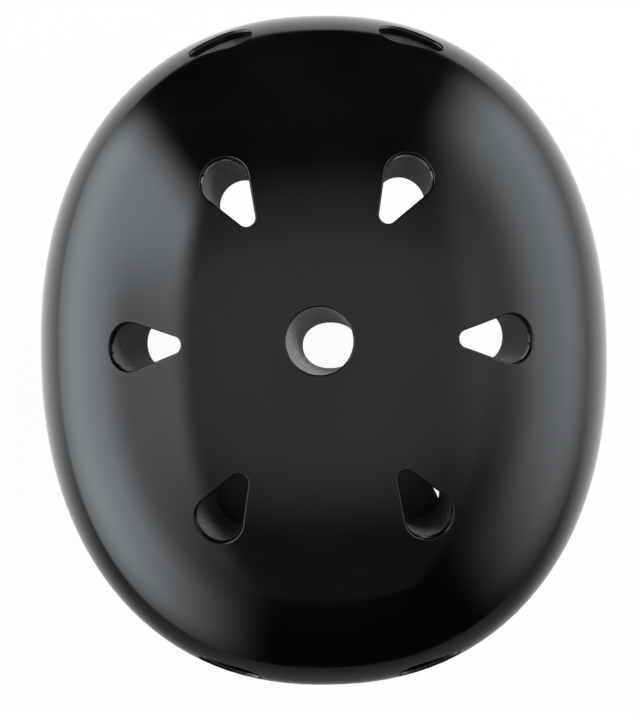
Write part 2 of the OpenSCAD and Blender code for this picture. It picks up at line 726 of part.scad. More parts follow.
// A prong runs from its root in the plug to a barbed head in the socket's side window
module prong() {
  head_x = window_end - 0.5;
  head_y = buckle_width / 2 - 0.2;
  shoulder_x = window_start + 0.4;
  color([0.06, 0.06, 0.06]) at_buckle() {
    translate([prong_root_x, prong_root_y, 0]) cylinder(r = prong_root_r, h = prong_thick, center = true);
    linear_extrude(prong_thick, center = true) polygon([
      [prong_root_x, prong_root_y - prong_root_r],
      [head_x - 4, prong_root_y - 0.9],
      [head_x, prong_root_y + 0.6],
      [head_x, prong_root_y + 2.2],
      [shoulder_x + 4, head_y],
      [shoulder_x, head_y],
      [shoulder_x, prong_root_y + 1.8],
      [prong_root_x, prong_root_y + prong_root_r]]);
  }
}

module prong_rear() { prong(); }
module prong_front() { translate([0, 2 * pivot[1], 0]) mirror([0, 1, 0]) prong(); }

// Fit cradle at the nape
rack_thick = 2;
rack_back = 4;
pitch_r = pinion_teeth * tooth_module / 2;
pressure_angle = 20;
gear_tip_r = pitch_r + tooth_module;
gear_root_r = pitch_r - tooth_module;
base_r = pitch_r * cos(pressure_angle);
rack_tip = pitch_r * pow(sin(pressure_angle), 2) - 0.02;
rack_root = 1.25 * tooth_module;
tooth_play = 0.12;
circular_pitch = PI * tooth_module;
cradle_clear = 14;
cradle_y = half_length - cavity_inset - cradle_clear;
dial_gap = 3.5;
dial_z = -nape_drop - dial_gap - dial_r;
axle_r = 3;
stub_r = 1.5;
cover_thick = 1.6;
housing_depth = 7;
housing_front = cradle_y - rack_thick / 2 - 0.4;
housing_back = housing_front + housing_depth;
channel_back = cradle_y + rack_thick / 2 + layer_gap;
channel_half = pitch_r + rack_root + rack_back + layer_gap;
housing_corner = 8;

module in_cradle_plane(y) { translate([0, y, dial_z]) rotate([90, 0, 0]) children(); }

module cradle_housing() {
  color([0.06, 0.06, 0.07]) difference() {
    in_cradle_plane((housing_front + housing_back) / 2)
      rounded_plate([housing_width, housing_height], housing_corner, housing_depth);
    translate([-housing_width, housing_front - 1, dial_z - channel_half])
      cube([2 * housing_width, channel_back - housing_front + 1, 2 * channel_half]);
    in_cradle_plane(housing_back) cylinder(r = axle_r + running_gap, h = 3 * housing_depth, center = true);
    for (x = [-arm_foot_x, arm_foot_x])
      translate([x - arm_foot_width / 2 - soft_gap, channel_back,
        dial_z + housing_height / 2 - arm_foot_sink])
        cube([arm_foot_width + 2 * soft_gap, strip_thick + 2 * soft_gap, 2 * arm_foot_sink]);
    in_cradle_plane(housing_front) for (x = [-screw_x, screw_x]) translate([x, screw_z, 0])
      cylinder(r = screw_r, h = 9, center = true);
  }
}

screw_x = housing_width / 2 - 9;
screw_z = -housing_height / 2 + 3.2;
screw_r = 1;
module cradle_cover() {
  color([0.06, 0.06, 0.07]) difference() {
    in_cradle_plane(housing_front - cover_thick / 2)
      rounded_plate([housing_width, housing_height], housing_corner, cover_thick);
    in_cradle_plane(housing_front) cylinder(r = stub_r + running_gap, h = 4 * cover_thick, center = true);
    in_cradle_plane(housing_front) for (x = [-screw_x, screw_x]) translate([x, screw_z, 0])
      cylinder(r = screw_r + running_gap, h = 9, center = true);
  }
}

module cover_screws() {
  color([0.4, 0.4, 0.42]) in_cradle_plane(housing_front)
    for (x = [-screw_x, screw_x]) translate([x, screw_z, 0]) {
      translate([0, 0, -3]) cylinder(r = screw_r - 0.02, h = 3 + cover_thick + 0.1);
      translate([0, 0, cover_thick]) cylinder(r1 = screw_r + 0.8, r2 = screw_r + 0.4, h = 0.7);
    }
}

// Involute pinion with one tooth pointing up
function involute(r) =
  let (lean = acos(base_r / r))
  tan(lean) * 180 / PI - lean;
function flank_turn(r) = 90 / pinion_teeth - tooth_play / 2 / pitch_r * 180 / PI / 2
  + involute(pitch_r) - involute(max(r, base_r));
flank_steps = [0, 0.2, 0.45, 0.7, 1];
function flank_r(share) = base_r + (gear_tip_r - base_r) * share;
function polar(r, turn) = [r * cos(turn), r * sin(turn)];
pinion_outline = [for (t = [0:pinion_teeth - 1])
  let (middle = 90 + 360 * t / pinion_teeth)
  each concat(
    [polar(gear_root_r, middle - flank_turn(base_r))],
    [for (s = flank_steps) polar(flank_r(s), middle - flank_turn(flank_r(s)))],
    [for (s = reversed(flank_steps)) polar(flank_r(s), middle + flank_turn(flank_r(s)))],
    [polar(gear_root_r, middle + flank_turn(base_r))])];

module dial_pinion() {
  axle_length = housing_back + dial_depth - cradle_y - 1;
  color([0.75, 0.75, 0.7]) {
    in_cradle_plane(cradle_y) linear_extrude(rack_thick, center = true) polygon(pinion_outline);
    in_cradle_plane(cradle_y) rotate([180, 0, 0]) cylinder(r = axle_r, h = axle_length);
    in_cradle_plane(cradle_y) cylinder(r = stub_r, h = rack_thick / 2 + 0.4 + cover_thick);
  }
}

grip_count = 20;
module fit_dial() {
  dial_front = housing_back + layer_gap;
  color([0.08, 0.08, 0.09]) difference() {
    in_cradle_plane(dial_front) rotate([180, 0, 0]) rotate_extrude() polygon([
      [0, 0], [dial_r - 0.8, 0], [dial_r, 0.8],
      [dial_r, dial_depth - 2.4], [dial_r - 2.2, dial_depth], [0, dial_depth]]);
    in_cradle_plane(dial_front) rotate([180, 0, 0]) translate([0, 0, -1])
      cylinder(r = axle_r + 0.02, h = dial_depth);
    in_cradle_plane(dial_front + dial_depth / 2) for (i = [0:grip_count - 1]) rotate(360 * i / grip_count)
      translate([dial_r + 0.9, 0, 0]) cylinder(r = 1.7, h = 2 * dial_depth, center = true);
  }
}

// Racks: the left one runs over the pinion and the right one under it
rack_inner = rack_travel + 6;
rack_outer = housing_width / 2 + 7;
tooth_half = (circular_pitch - tooth_play) / 4;
tooth_lean = tan(pressure_angle);
tab_start = housing_width / 2 + 0.5;
tab_low = -4;
module rack_outline() {
  body_low = pitch_r + rack_root;
  translate([-rack_inner, body_low]) square([rack_inner + rack_outer, rack_back]);
  translate([tab_start, tab_low]) square([rack_outer - tab_start, body_low + rack_back - tab_low]);
  first = -floor((rack_travel + 4) / circular_pitch);
  for (i = [first:1]) translate([(i + 0.5) * circular_pitch, pitch_r]) polygon([
    [-tooth_half - rack_root * tooth_lean, rack_root + 0.01],
    [-tooth_half + rack_tip * tooth_lean, -rack_tip],
    [tooth_half - rack_tip * tooth_lean, -rack_tip],
    [tooth_half + rack_root * tooth_lean, rack_root + 0.01]]);
}

module rack_left() {
  color([0.7, 0.7, 0.66]) in_cradle_plane(cradle_y) linear_extrude(rack_thick, center = true) rack_outline();
}
module rack_right() {
  color([0.7, 0.7, 0.66]) in_cradle_plane(cradle_y) rotate(180)
    linear_extrude(rack_thick, center = true) rack_outline();
}

// Side bands from the racks' ends to the temple pins
band_inset = cavity_inset + 3;
band_marks = [[temple_angle - 5, temple_level], [temple_angle, temple_level],
  [temple_angle + 7, temple_level], [-10, -10], [14, -10], [34, -24], [50, -46]];
band_end_level = (tab_low + pitch_r + rack_root + rack_back) / 2;
function band_route(side) = concat(
  [for (mark = band_marks)
    [wall_point(mark[0], mark[1], band_inset), wall_normal(mark[0], 0, band_inset)]],
  [[[rack_outer + 16, cradle_y - 9, dial_z + side * band_end_level + 4], unit([0.5, 1, 0])],
    [[rack_outer + 6, cradle_y - 0.6, dial_z + side * band_end_level], [0, 1, 0]],
    [[rack_outer + layer_gap, cradle_y, dial_z + side * band_end_level], [0, 1, 0]]]);

module band(side) {
  color([0.06, 0.06, 0.07]) difference() {
    strip(cut_corners(band_route(side), 2), band_width, band_width, strip_thick);
    on_wall(temple_angle, temple_level, cavity_inset)
      cylinder(r = pin_r + running_gap, h = 12, center = true);
  }
}
module band_left() { band(1); }
module band_right() { mirror([1, 0, 0]) band(-1); }

pin_head_r = 4;
module liner_pin() {
  translate([0, 0, -pin_stand]) cylinder(r = pin_r, h = pin_stand + pin_depth);
  translate([0, 0, -pin_stand - 1.4]) cylinder(r1 = pin_head_r - 1, r2 = pin_head_r, h = 1.4);
}
pin_stand = band_inset - cavity_inset + strip_thick / 2 + 0.9;
module temple_pins() {
  color([0.3, 0.3, 0.32]) at_temple_pins() liner_pin();
}

// Arms from the liner under the rear vents down to the housing
arm_inset = cavity_inset + 3;
arm_marks = [[59, 62], [59, 56], [59.5, 50], [61, 38], [64, 24], [68, 6], [72, -14], [75, -36]];
arm_pin_place = [59.3, 50];
socket_rise = 0.55;
socket_skin = 0.5;

// Stands on the arm at its pin, or at one of the height sockets above and below it
module on_arm(place) {
  on_wall(arm_pin_place[0], arm_pin_place[1] + place * socket_rise * hole_pitch, cavity_inset) children();
}

arm_foot_x = 20;
arm_foot_width = 14;
arm_foot_sink = 5;
arm_foot_y = channel_back + soft_gap + strip_thick / 2;
arm_route = concat(
  [for (mark = arm_marks)
    [wall_point(mark[0], mark[1], arm_inset), wall_normal(mark[0], mark[1], arm_inset)]],
  [[[arm_foot_x, arm_foot_y, dial_z + housing_height / 2 + 4], [0, 1, 0]],
    [[arm_foot_x, arm_foot_y, dial_z + housing_height / 2 - arm_foot_sink + soft_gap], [0, 1, 0]]]);

module cradle_arm_left() {
  color([0.06, 0.06, 0.07]) difference() {
    strip(cut_corners(arm_route, 2), arm_width, arm_foot_width, strip_thick);
    on_arm(0) cylinder(r = pin_r + running_gap, h = 14, center = true);
    for (i = [-1, 1, 2]) on_arm(i)
      translate([0, 0, cavity_inset - arm_inset - strip_thick / 2 + socket_skin]) cylinder(r = hole_r, h = 6);
  }
}
module cradle_arm_right() { mirror([1, 0, 0]) cradle_arm_left(); }

module arm_pins() {
  color([0.3, 0.3, 0.32]) at_arm_pins() liner_pin();
}

// Soft pad on the head side of the cradle cover
nape_pad_size = [50, 22, 6];
module nape_pad() {
  back = housing_front - cover_thick - 0.9;
  rings = [for (step = pad_profile) [for (i = [0:pad_columns - 1])
    let (turn = -360 * i / pad_columns)
    [nape_pad_size[0] / 2 * step[0] * signed_power(cos(turn), pad_squareness),
      back - nape_pad_size[2] * step[1],
      dial_z + nape_pad_size[1] / 2 * step[0] * signed_power(sin(turn), pad_squareness)]]];
  color([0.1, 0.1, 0.11]) ring_solid([0, back - nape_pad_size[2], dial_z], rings, [0, back, dial_z]);
}

outer_shell();
foam_liner();
brow_pad();
crown_pad();
side_pad_left();
side_pad_right();
rear_pad();
hook_dots();
strap_rivets();
rivet_washers();
front_strap_left();
front_strap_right();
rear_strap_left();
rear_strap_right();
divider_left();
divider_right();
chin_strap_left();
chin_strap_right();
strap_keeper();
buckle_socket();
buckle_plug();
prong_front();
prong_rear();
cradle_housing();
cradle_cover();
cover_screws();
fit_dial();
dial_pinion();
rack_left();
rack_right();
band_left();
band_right();
temple_pins();
cradle_arm_left();
cradle_arm_right();
arm_pins();
nape_pad();
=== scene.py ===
"""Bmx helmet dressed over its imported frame. Metres throughout, in the frame's own axes."""
import math

import bpy
import numpy as np
from mathutils import Matrix, Vector


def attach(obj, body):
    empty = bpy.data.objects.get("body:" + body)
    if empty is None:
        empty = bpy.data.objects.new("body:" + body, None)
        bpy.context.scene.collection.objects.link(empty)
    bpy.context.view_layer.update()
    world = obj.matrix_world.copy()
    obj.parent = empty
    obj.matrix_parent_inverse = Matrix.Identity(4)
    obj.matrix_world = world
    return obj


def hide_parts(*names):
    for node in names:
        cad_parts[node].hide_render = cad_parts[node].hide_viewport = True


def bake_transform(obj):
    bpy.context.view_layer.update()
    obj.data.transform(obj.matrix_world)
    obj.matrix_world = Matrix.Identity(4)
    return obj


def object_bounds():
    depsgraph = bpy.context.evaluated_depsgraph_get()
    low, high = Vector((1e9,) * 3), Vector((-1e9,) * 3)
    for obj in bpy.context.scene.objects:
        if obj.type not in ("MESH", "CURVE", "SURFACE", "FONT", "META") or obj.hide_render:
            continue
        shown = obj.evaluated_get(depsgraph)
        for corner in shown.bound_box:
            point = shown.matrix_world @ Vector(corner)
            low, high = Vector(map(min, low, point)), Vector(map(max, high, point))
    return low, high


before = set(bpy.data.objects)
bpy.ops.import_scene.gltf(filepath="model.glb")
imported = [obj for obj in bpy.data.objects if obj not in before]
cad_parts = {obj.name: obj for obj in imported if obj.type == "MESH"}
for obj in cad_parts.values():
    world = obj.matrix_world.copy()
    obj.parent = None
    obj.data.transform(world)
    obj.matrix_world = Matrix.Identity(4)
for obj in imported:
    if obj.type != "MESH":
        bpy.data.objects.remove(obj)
cad_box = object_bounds()

# Driving sizes, in millimetres, as the frame has them. Only the rear channels' lean, the side pads' height
# and the arms' width follow the photo instead. A ring vent is its turn from the brow, its reach, its length,
# and its channel's lean outwards and back
SHELL_WIDTH, SHELL_LENGTH, CROWN_HEIGHT = 230, 272, 98
SHELL_WALL, LINER_INSET, CAVITY_INSET = 3, 3.3, 27.3
OUTLINE_POWER, DOME_POWER, EDGE_TUCK, NAPE_DROP = 2.23, 2.3, 0.035, 58
EDGE_MARKS = [(0, -12), (50, -30), (86, -16), (128, -50), (180, -58)]
VENT_ROUND, VENT_TIP, CROWN_VENT = 9.25, 3.3, 12.5
RING_VENTS = [(29.5, 62.5, 17.6, 0, -1.6), (90, 64.2, 18.6, 2.4, -2), (149, 68.9, 17, -0.4, 2.0)]
SLOT_ROUND, SLOT_TIP, SLOT_LENGTH, SLOT_TURN = 9.4, 6.6, 10, 18
BROW_VENT_LEVEL, NAPE_VENT_LEVEL = 42, 24
CHANNEL_MARGIN, CHANNEL_TAPER, CHANNEL_DRIFT, CHANNEL_END = 0.8, 0.93, -1.4, 46
CROWN_HOLE, CROWN_HOLE_R, CROWN_HOLE_SPREAD, CROWN_HOLE_POWER = (-3.8, 0.7), 8.5, 1.9, 0.93
WEBBING_WIDTH, STRAP_INSET, RIVET_RISE, STRAP_OVERLAP = 16, 4.7, 14, 9
RIVET_TURNS, DIAL_Z = (62, 122), -75.5
FRONT = -90
MM = 0.001


def smooth_step(t):
    return t * t * (3 - 2 * t)


def signed_power(value, power):
    return math.copysign(abs(value) ** power, value)


def edge_level(turn):
    """Level of the shell's lower edge, with the turn counted from the brow."""
    turn = abs((turn + 180) % 360 - 180)
    for (a, low), (b, high) in zip(EDGE_MARKS, EDGE_MARKS[1:]):
        if turn <= b:
            return low + (high - low) * smooth_step((turn - a) / (b - a))
    return EDGE_MARKS[-1][1]


def plan_reach(angle, inset):
    """How far the widest outline of a layer reaches at an angle."""
    a = math.radians(angle)
    across = abs(math.cos(a)) / (SHELL_WIDTH / 2 - inset)
    along = abs(math.sin(a)) / (SHELL_LENGTH / 2 - inset)
    return (across ** OUTLINE_POWER + along ** OUTLINE_POWER) ** (-1 / OUTLINE_POWER)


def level_share(level, inset):
    """The share of that reach that a layer has at a level."""
    if level >= 0:
        return (1 - min(level / (CROWN_HEIGHT - inset), 1) ** DOME_POWER) ** (1 / DOME_POWER)
    return 1 - EDGE_TUCK * (level / NAPE_DROP) ** 2


def wall_point(angle, level, inset):
    reach = level_share(level, inset) * plan_reach(angle, inset)
    a = math.radians(angle)
    return Vector((reach * math.cos(a), reach * math.sin(a), level))


def wall_normal(angle, level, inset):
    round_way = wall_point(angle + 1, level, inset) - wall_point(angle - 1, level, inset)
    up_way = wall_point(angle, level + 1, inset) - wall_point(angle, level - 1, inset)
    return round_way.cross(up_way).normalized()


def plan_share(x, y, inset):
    """One on the widest outline of a layer, below one inside it."""
    across = (abs(x) / (SHELL_WIDTH / 2 - inset)) ** OUTLINE_POWER
    along = (abs(y) / (SHELL_LENGTH / 2 - inset)) ** OUTLINE_POWER
    return (across + along) ** (1 / OUTLINE_POWER)


def dome_height(x, y, inset):
    share = plan_share(x, y, inset)
    return (CROWN_HEIGHT - inset) * max(1 - share ** DOME_POWER, 0) ** (1 / DOME_POWER)


def face_offset(point, inset):
    """Zero on the face of a layer, below zero inside it. The point is in millimetres."""
    x, y, z = point
    share = plan_share(x, y, inset)
    if z >= 0:
        return (share ** DOME_POWER + (z / (CROWN_HEIGHT - inset)) ** DOME_POWER) ** (1 / DOME_POWER) - 1
    return share / level_share(z, inset) - 1


def face_normal(point, inset):
    steps = [Vector(way) * 0.05 for way in ((1, 0, 0), (0, 1, 0), (0, 0, 1))]
    return Vector([face_offset(point + step, inset) - face_offset(point - step, inset)
                   for step in steps]).normalized()


def onto_face(point, way, inset):
    """Slides a point along a way until it lies on the face of a layer."""
    for _ in range(14):
        high = face_offset(point + way * 0.1, inset)
        low = face_offset(point - way * 0.1, inset)
        slope = (high - low) / 0.2
        if abs(slope) < 1e-7:
            break
        point = point - way * max(min(face_offset(point, inset) / slope, 6), -6)
    return point


def on_dome(angle, reach, inset):
    """A stand on the dome: Z along the normal and X down the slope."""
    a = math.radians(angle)
    c, s = math.cos(a), math.sin(a)
    high = dome_height((reach - 1) * c, (reach - 1) * s, inset)
    low = dome_height((reach + 1) * c, (reach + 1) * s, inset)
    place = Vector((reach * c, reach * s, (high + low) / 2))
    tilt = math.atan((high - low) / 2)
    return Matrix.Translation(place) @ Matrix.Rotation(a, 4, "Z") @ Matrix.Rotation(tilt, 4, "Y")


def on_wall(angle, level, inset):
    """A stand on the wall: Z along the outward normal and X down the wall."""
    n = wall_normal(angle, level, inset)
    return (Matrix.Translation(wall_point(angle, level, inset))
            @ Matrix.Rotation(math.atan2(n.y, n.x), 4, "Z") @ Matrix.Rotation(math.acos(n.z), 4, "Y"))


# Bench work. Pieces are worked in millimetres and settled into metres when they are done

def pick_nothing():
    if bpy.context.object and bpy.context.object.mode != "OBJECT":
        bpy.ops.object.mode_set(mode="OBJECT")
    bpy.ops.object.select_all(action="DESELECT")


def pick(obj, *others):
    pick_nothing()
    for o in (obj, *others):
        o.select_set(True)
    bpy.context.view_layer.objects.active = obj


def start_piece(primitive, name, **settings):
    pick_nothing()
    primitive(**settings)
    obj = bpy.context.object
    obj.name = name
    return obj


def finish_with(obj, kind, **settings):
    pick(obj)
    modifier = obj.modifiers.new(kind.title(), kind)
    for name, value in settings.items():
        setattr(modifier, name, value)
    bpy.ops.object.modifier_apply(modifier=modifier.name)


def in_edit(obj, *steps, whole=True):
    """Runs edit mode steps on the whole piece, or on what is already picked."""
    pick(obj)
    bpy.ops.object.mode_set(mode="EDIT")
    if whole:
        bpy.ops.mesh.select_all(action="SELECT")
    for step in steps:
        step()
    bpy.ops.object.mode_set(mode="OBJECT")


def pull_down():
    bpy.ops.mesh.extrude_region_move(TRANSFORM_OT_translate={"value": (0, 0, -1)})


def face_out():
    bpy.ops.mesh.normals_make_consistent(inside=False)


def merge_doubles():
    bpy.ops.mesh.remove_doubles(threshold=0.001)


def spots(obj):
    values = np.empty(len(obj.data.vertices) * 3)
    obj.data.vertices.foreach_get("co", values)
    return values.reshape(-1, 3)


def move_spots(obj, places):
    obj.data.vertices.foreach_set("co", np.asarray(places, float).ravel())
    obj.data.update()


def pick_edges(obj, wanted):
    """Picks the edges whose two ends pass a test on their places."""
    pick(obj)
    bpy.ops.object.mode_set(mode="EDIT")
    bpy.ops.mesh.select_mode(type="EDGE")
    bpy.ops.mesh.select_all(action="DESELECT")
    bpy.ops.object.mode_set(mode="OBJECT")
    places = [v.co for v in obj.data.vertices]
    for edge in obj.data.edges:
        edge.select = all(wanted(places[i]) for i in edge.vertices)


def join(obj, *others):
    pick(obj, *others)
    bpy.ops.object.join()


def change_sides(obj):
    obj.data.transform(Matrix.Scale(-1, 4, (1, 0, 0)))
    obj.data.flip_normals()


def mirrored(obj, name):
    new = obj.copy()
    new.data = obj.data.copy()
    new.name = name
    bpy.context.scene.collection.objects.link(new)
    change_sides(new)
    return new


def cut_out(obj, cutters):
    for cutter in cutters:
        finish_with(obj, "BOOLEAN", operation="DIFFERENCE", solver="EXACT", object=cutter)
        bpy.data.objects.remove(cutter, do_unlink=True)


def soften_shading(obj, degrees):
    pick(obj)
    bpy.ops.object.shade_smooth_by_angle(angle=math.radians(degrees))


def settle(obj, body, material, slot, node):
    """Brings a finished piece from millimetres to metres, gives it its material, ties it to its body if it
    has one, and hides the CAD node that it stands in for.
    """
    obj.data.transform(Matrix.Scale(MM, 4))
    obj.data.materials.clear()
    obj.data.materials.append(material)
    if body:
        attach(obj, body)
    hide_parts(node)


# Shell and liner

def bowl(name, inset, rise, lip, columns, rings, skirts):
    """An open bowl under the shell's face: half a sphere, drawn down to the edge and on round its lip."""
    obj = start_piece(bpy.ops.mesh.primitive_uv_sphere_add, name, segments=columns, ring_count=2 * rings,
                      radius=1)
    in_edit(obj, lambda: bpy.ops.mesh.bisect(plane_co=(0, 0, -0.001), plane_no=(0, 0, -1), clear_outer=True))
    pick_edges(obj, lambda p: p.z < 1e-4)
    in_edit(obj, lambda: bpy.ops.mesh.delete(type="VERT"), whole=False)
    low = min(v.co.z for v in obj.data.vertices)
    pick_edges(obj, lambda p: p.z < low + 1e-4)
    in_edit(obj, *[pull_down] * (1 + skirts + len(lip)), whole=False)
    places = spots(obj)
    for i, (x, y, z) in enumerate(places):
        angle = math.degrees(math.atan2(y, x))
        turn = angle - FRONT
        step = round(low - z)
        if step < 1:
            lean = math.acos(min(z, 1))
            reach = math.sin(lean) ** (2 / DOME_POWER) * plan_reach(angle, inset)
            level = (CROWN_HEIGHT - inset) * math.cos(lean) ** (2 / DOME_POWER)
            a = math.radians(angle)
            places[i] = (reach * math.cos(a), reach * math.sin(a), level)
        elif step <= skirts + 1:
            places[i] = wall_point(angle, (edge_level(turn) + rise) * (step - 1) / skirts, inset)
        else:
            deeper, higher = lip[step - skirts - 2]
            places[i] = wall_point(angle, edge_level(turn) + higher, inset + deeper)
    move_spots(obj, places)
    return obj


def layer(name, outer, inner, lip, columns, rings, skirts):
    """A closed layer of the helmet. Outer and inner are each an inset and a rise at the edge."""
    outside = bowl(name, *outer, lip, columns, rings, skirts)
    inside = bowl(name + "_inside", *inner, [], columns, rings, skirts)
    in_edit(inside, bpy.ops.mesh.flip_normals)
    join(outside, inside)
    pick_edges(outside, lambda p: False)
    in_edit(outside, bpy.ops.mesh.select_non_manifold, bpy.ops.mesh.bridge_edge_loops, whole=False)
    in_edit(outside, face_out)
    return outside


ROUND_STEPS, TIP_STEPS, SIDE_STEPS, HOLE_STEPS = 32, 16, 8, 80


def arc(middle, radius, start, sweep, steps):
    """Points on an arc about a middle on the X axis, with both its ends."""
    turns = [start + sweep * i / steps for i in range(steps + 1)]
    return [(middle + radius * math.cos(a), radius * math.sin(a)) for a in turns]


def teardrop(round_r, tip_r, length, spread):
    """Outline of a vent, wider all round by the spread, with the round end towards +X."""
    wide = math.pi / 2 + math.asin((round_r - tip_r) / length)
    big = arc(length / 2, round_r + spread, -wide, 2 * wide, ROUND_STEPS)
    small = arc(-length / 2, tip_r + spread, wide, 2 * math.pi - 2 * wide, TIP_STEPS)

    def side(a, b):
        return [(a[0] + (b[0] - a[0]) * i / SIDE_STEPS, a[1] + (b[1] - a[1]) * i / SIDE_STEPS)
                for i in range(1, SIDE_STEPS)]
    return big + side(big[-1], small[0]) + small + side(small[-1], big[0])


def round_hole(radius, spread):
    return arc(0, radius + spread, 0, 2 * math.pi, HOLE_STEPS)[:-1]


def ring_cutter(name, rings, marks=None):
    """A closed form through rings of equal counts, from a disc that is pulled out once for each ring."""
    count = len(rings[0])
    obj = start_piece(bpy.ops.mesh.primitive_circle_add, name, vertices=count, radius=1, fill_type="NGON")
    in_edit(obj, *[pull_down] * (len(rings) - 1))
    places = spots(obj)
    steps = [(round(-z), round(math.atan2(y, x) / (2 * math.pi) * count) % count) for x, y, z in places]
    move_spots(obj, [rings[ring][turn] for ring, turn in steps])
    if marks:
        weave = obj.data.attributes.new("weave", "FLOAT_VECTOR", "POINT")
        weave.data.foreach_set("vector", [value for ring, turn in steps for value in marks[ring][turn]])
    in_edit(obj, face_out)
    return obj


def rim_cutter(stand, outline):
    """Cuts a vent through the shell and rolls its rim. Each step is a height over the face and a spread."""
    way = (stand.to_3x3() @ Vector((0, 0, 1))).normalized()
    return ring_cutter("rim_cutter", [
        [onto_face(stand @ Vector((u, v, 0)), way, 0) + way * height for u, v in outline(spread)]
        for height, spread in SHELL_ROLL])


def channel_cutter(stand, outline, lean, taper):
    """Cuts a vent's channel through the liner, narrowing and leaning on its way in."""
    share = (CHANNEL_END - LINER_INSET) / (CAVITY_INSET - LINER_INSET)
    steps = [(LINER_INSET, 1, 0), (-LINER_INSET, 1, 0), (-CHANNEL_END, 1 - (1 - taper) * share, share)]
    return ring_cutter("channel_cutter", [
        [stand @ Vector((size * u + lean[0] * shift, size * v + lean[1] * shift, height))
         for u, v in outline(CHANNEL_MARGIN)] for height, size, shift in steps])


def ring_outline(length):
    return lambda spread: teardrop(VENT_ROUND, VENT_TIP, length, spread)


def slot_outline(spread):
    return teardrop(SLOT_ROUND, SLOT_TIP, SLOT_LENGTH, spread)


def vent_places():
    """Each vent's stand, outline, and its channel's lean and taper, the right side as well as the left."""
    vents = []
    for side in (1, -1):
        for turn, reach, length, out, back in RING_VENTS:
            angle = FRONT + side * turn
            lean = Matrix.Rotation(-math.radians(angle), 2) @ Vector((side * out + CHANNEL_DRIFT, back))
            vents.append((on_dome(angle, reach, 0), ring_outline(length), lean, CHANNEL_TAPER))
        for middle, level, quarter in ((FRONT, BROW_VENT_LEVEL, -1), (-FRONT, NAPE_VENT_LEVEL, 1)):
            stand = on_wall(middle - side * quarter * SLOT_TURN, level, 0)
            turned = stand @ Matrix.Rotation(side * quarter * math.pi / 2, 4, "Z")
            vents.append((turned, slot_outline, (0, 0), 1))
    return vents


# A roll's steps are heights over the face and spreads of the outline. A lip's steps are depths under the
# layer's face and heights over the edge
SHELL_ROLL = [(2.4, 3.8), (0, 0.8), (-0.25, 0.45), (-0.6, 0.2), (-1, 0.05), (-1.5, 0), (-9, 0)]
SHELL_LIP_DROP = 1.7
LINER_LIP = [(0.5, 1.4), (2, 0.9), (5, 0.5), (9, 0.1), (13, 0), (17, 0.3), (21, 1.4), (23.2, 2.8)]
POCKET_LONGER, POCKET_SIDE, POCKET_DEPTH = 24, 4.2, 9


def make_shell():
    half, turns = SHELL_WALL / 2, [math.radians(20 * k) for k in range(1, 9)]
    lip = [(half - half * math.cos(t), -SHELL_LIP_DROP * math.sin(t)) for t in turns]
    shell = layer("shell", (0, 0), (SHELL_WALL, 0), lip, 144, 40, 8)
    crown = Matrix.Translation((0, 0, CROWN_HEIGHT))
    cutters = [rim_cutter(crown, lambda spread: round_hole(CROWN_VENT, spread))]
    cutters += [rim_cutter(stand, outline) for stand, outline, *_ in vent_places()]
    cut_out(shell, cutters)
    return shell


def crown_hole(turn, margin, level=0):
    """A place on the oval hole that the crown channel and the crown pad share, a little to the right."""
    across = (CROWN_HOLE_R + CROWN_HOLE_SPREAD + margin) * signed_power(math.cos(turn), CROWN_HOLE_POWER)
    along = (CROWN_HOLE_R + margin) * signed_power(math.sin(turn), CROWN_HOLE_POWER)
    return Vector((CROWN_HOLE[0] + across, CROWN_HOLE[1] + along, level))


def crown_channel():
    low = CROWN_HEIGHT - CAVITY_INSET - 1
    wide = [Vector((u, v, 0)) for u, v in round_hole(CROWN_VENT, CHANNEL_MARGIN)]
    levels = (CROWN_HEIGHT + 2, CROWN_HEIGHT - SHELL_WALL)
    return ring_cutter("crown_channel", [[p + Vector((0, 0, z)) for p in wide] for z in levels]
                       + [[crown_hole(2 * math.pi * i / HOLE_STEPS, 0, z) for i in range(HOLE_STEPS)]
                          for z in (low, low - 9)])


def strap_pocket(turn):
    """Clears the liner under a strap's end, its rivet and its washer."""
    obj = start_piece(bpy.ops.mesh.primitive_cube_add, "strap_pocket", size=1)
    size = Vector((RIVET_RISE + STRAP_OVERLAP + POCKET_LONGER, WEBBING_WIDTH + 2 * POCKET_SIDE, POCKET_DEPTH))
    stand = on_wall(FRONT + turn, edge_level(turn) + RIVET_RISE, 0)
    obj.data.transform(stand @ Matrix.Translation((size.x / 2 - STRAP_OVERLAP - 1.5, 0, -size.z / 2))
                       @ Matrix.Diagonal((*size, 1)))
    return obj


def make_liner():
    liner = layer("liner", (LINER_INSET, 2), (CAVITY_INSET, 4), LINER_LIP, 120, 34, 7)
    cutters = [crown_channel()] + [channel_cutter(*place) for place in vent_places()]
    cutters += [strap_pocket(side * turn) for turn in RIVET_TURNS for side in (1, -1)]
    cut_out(liner, cutters)
    return liner


# Pads. A place on a pad is u and v, from -1 to 1, and a depth from 0 at its back to 1

PAD_THICK, PAD_INSET, PAD_SQUARENESS = 8, 29.3, 0.62
BROW_PAD, SIDE_PAD, REAR_PAD, CROWN_PAD_R = (-90, 46, 4, 12), (4, 30, 18, 16.2), (90, 9, 4, 22), 35
NAPE_PAD_HALF, NAPE_PAD_BACK, NAPE_PAD_THICK = (25, 11), 90.8, 6
PAD_EDGE, PAD_ROUNDNESS, PAD_FILL = 0.24, 0.72, 0.6
WELT_LEVEL = PAD_EDGE * 0.8


def wall_pad_place(middle, half_turn, level, half_height):
    return lambda u, v, depth: wall_point(middle + half_turn * u, level + half_height * v,
                                          PAD_INSET + PAD_THICK * depth)


def nape_pad_place(u, v, depth):
    across, up = NAPE_PAD_HALF
    return Vector((across * u, NAPE_PAD_BACK - NAPE_PAD_THICK * depth, DIAL_Z + up * v))


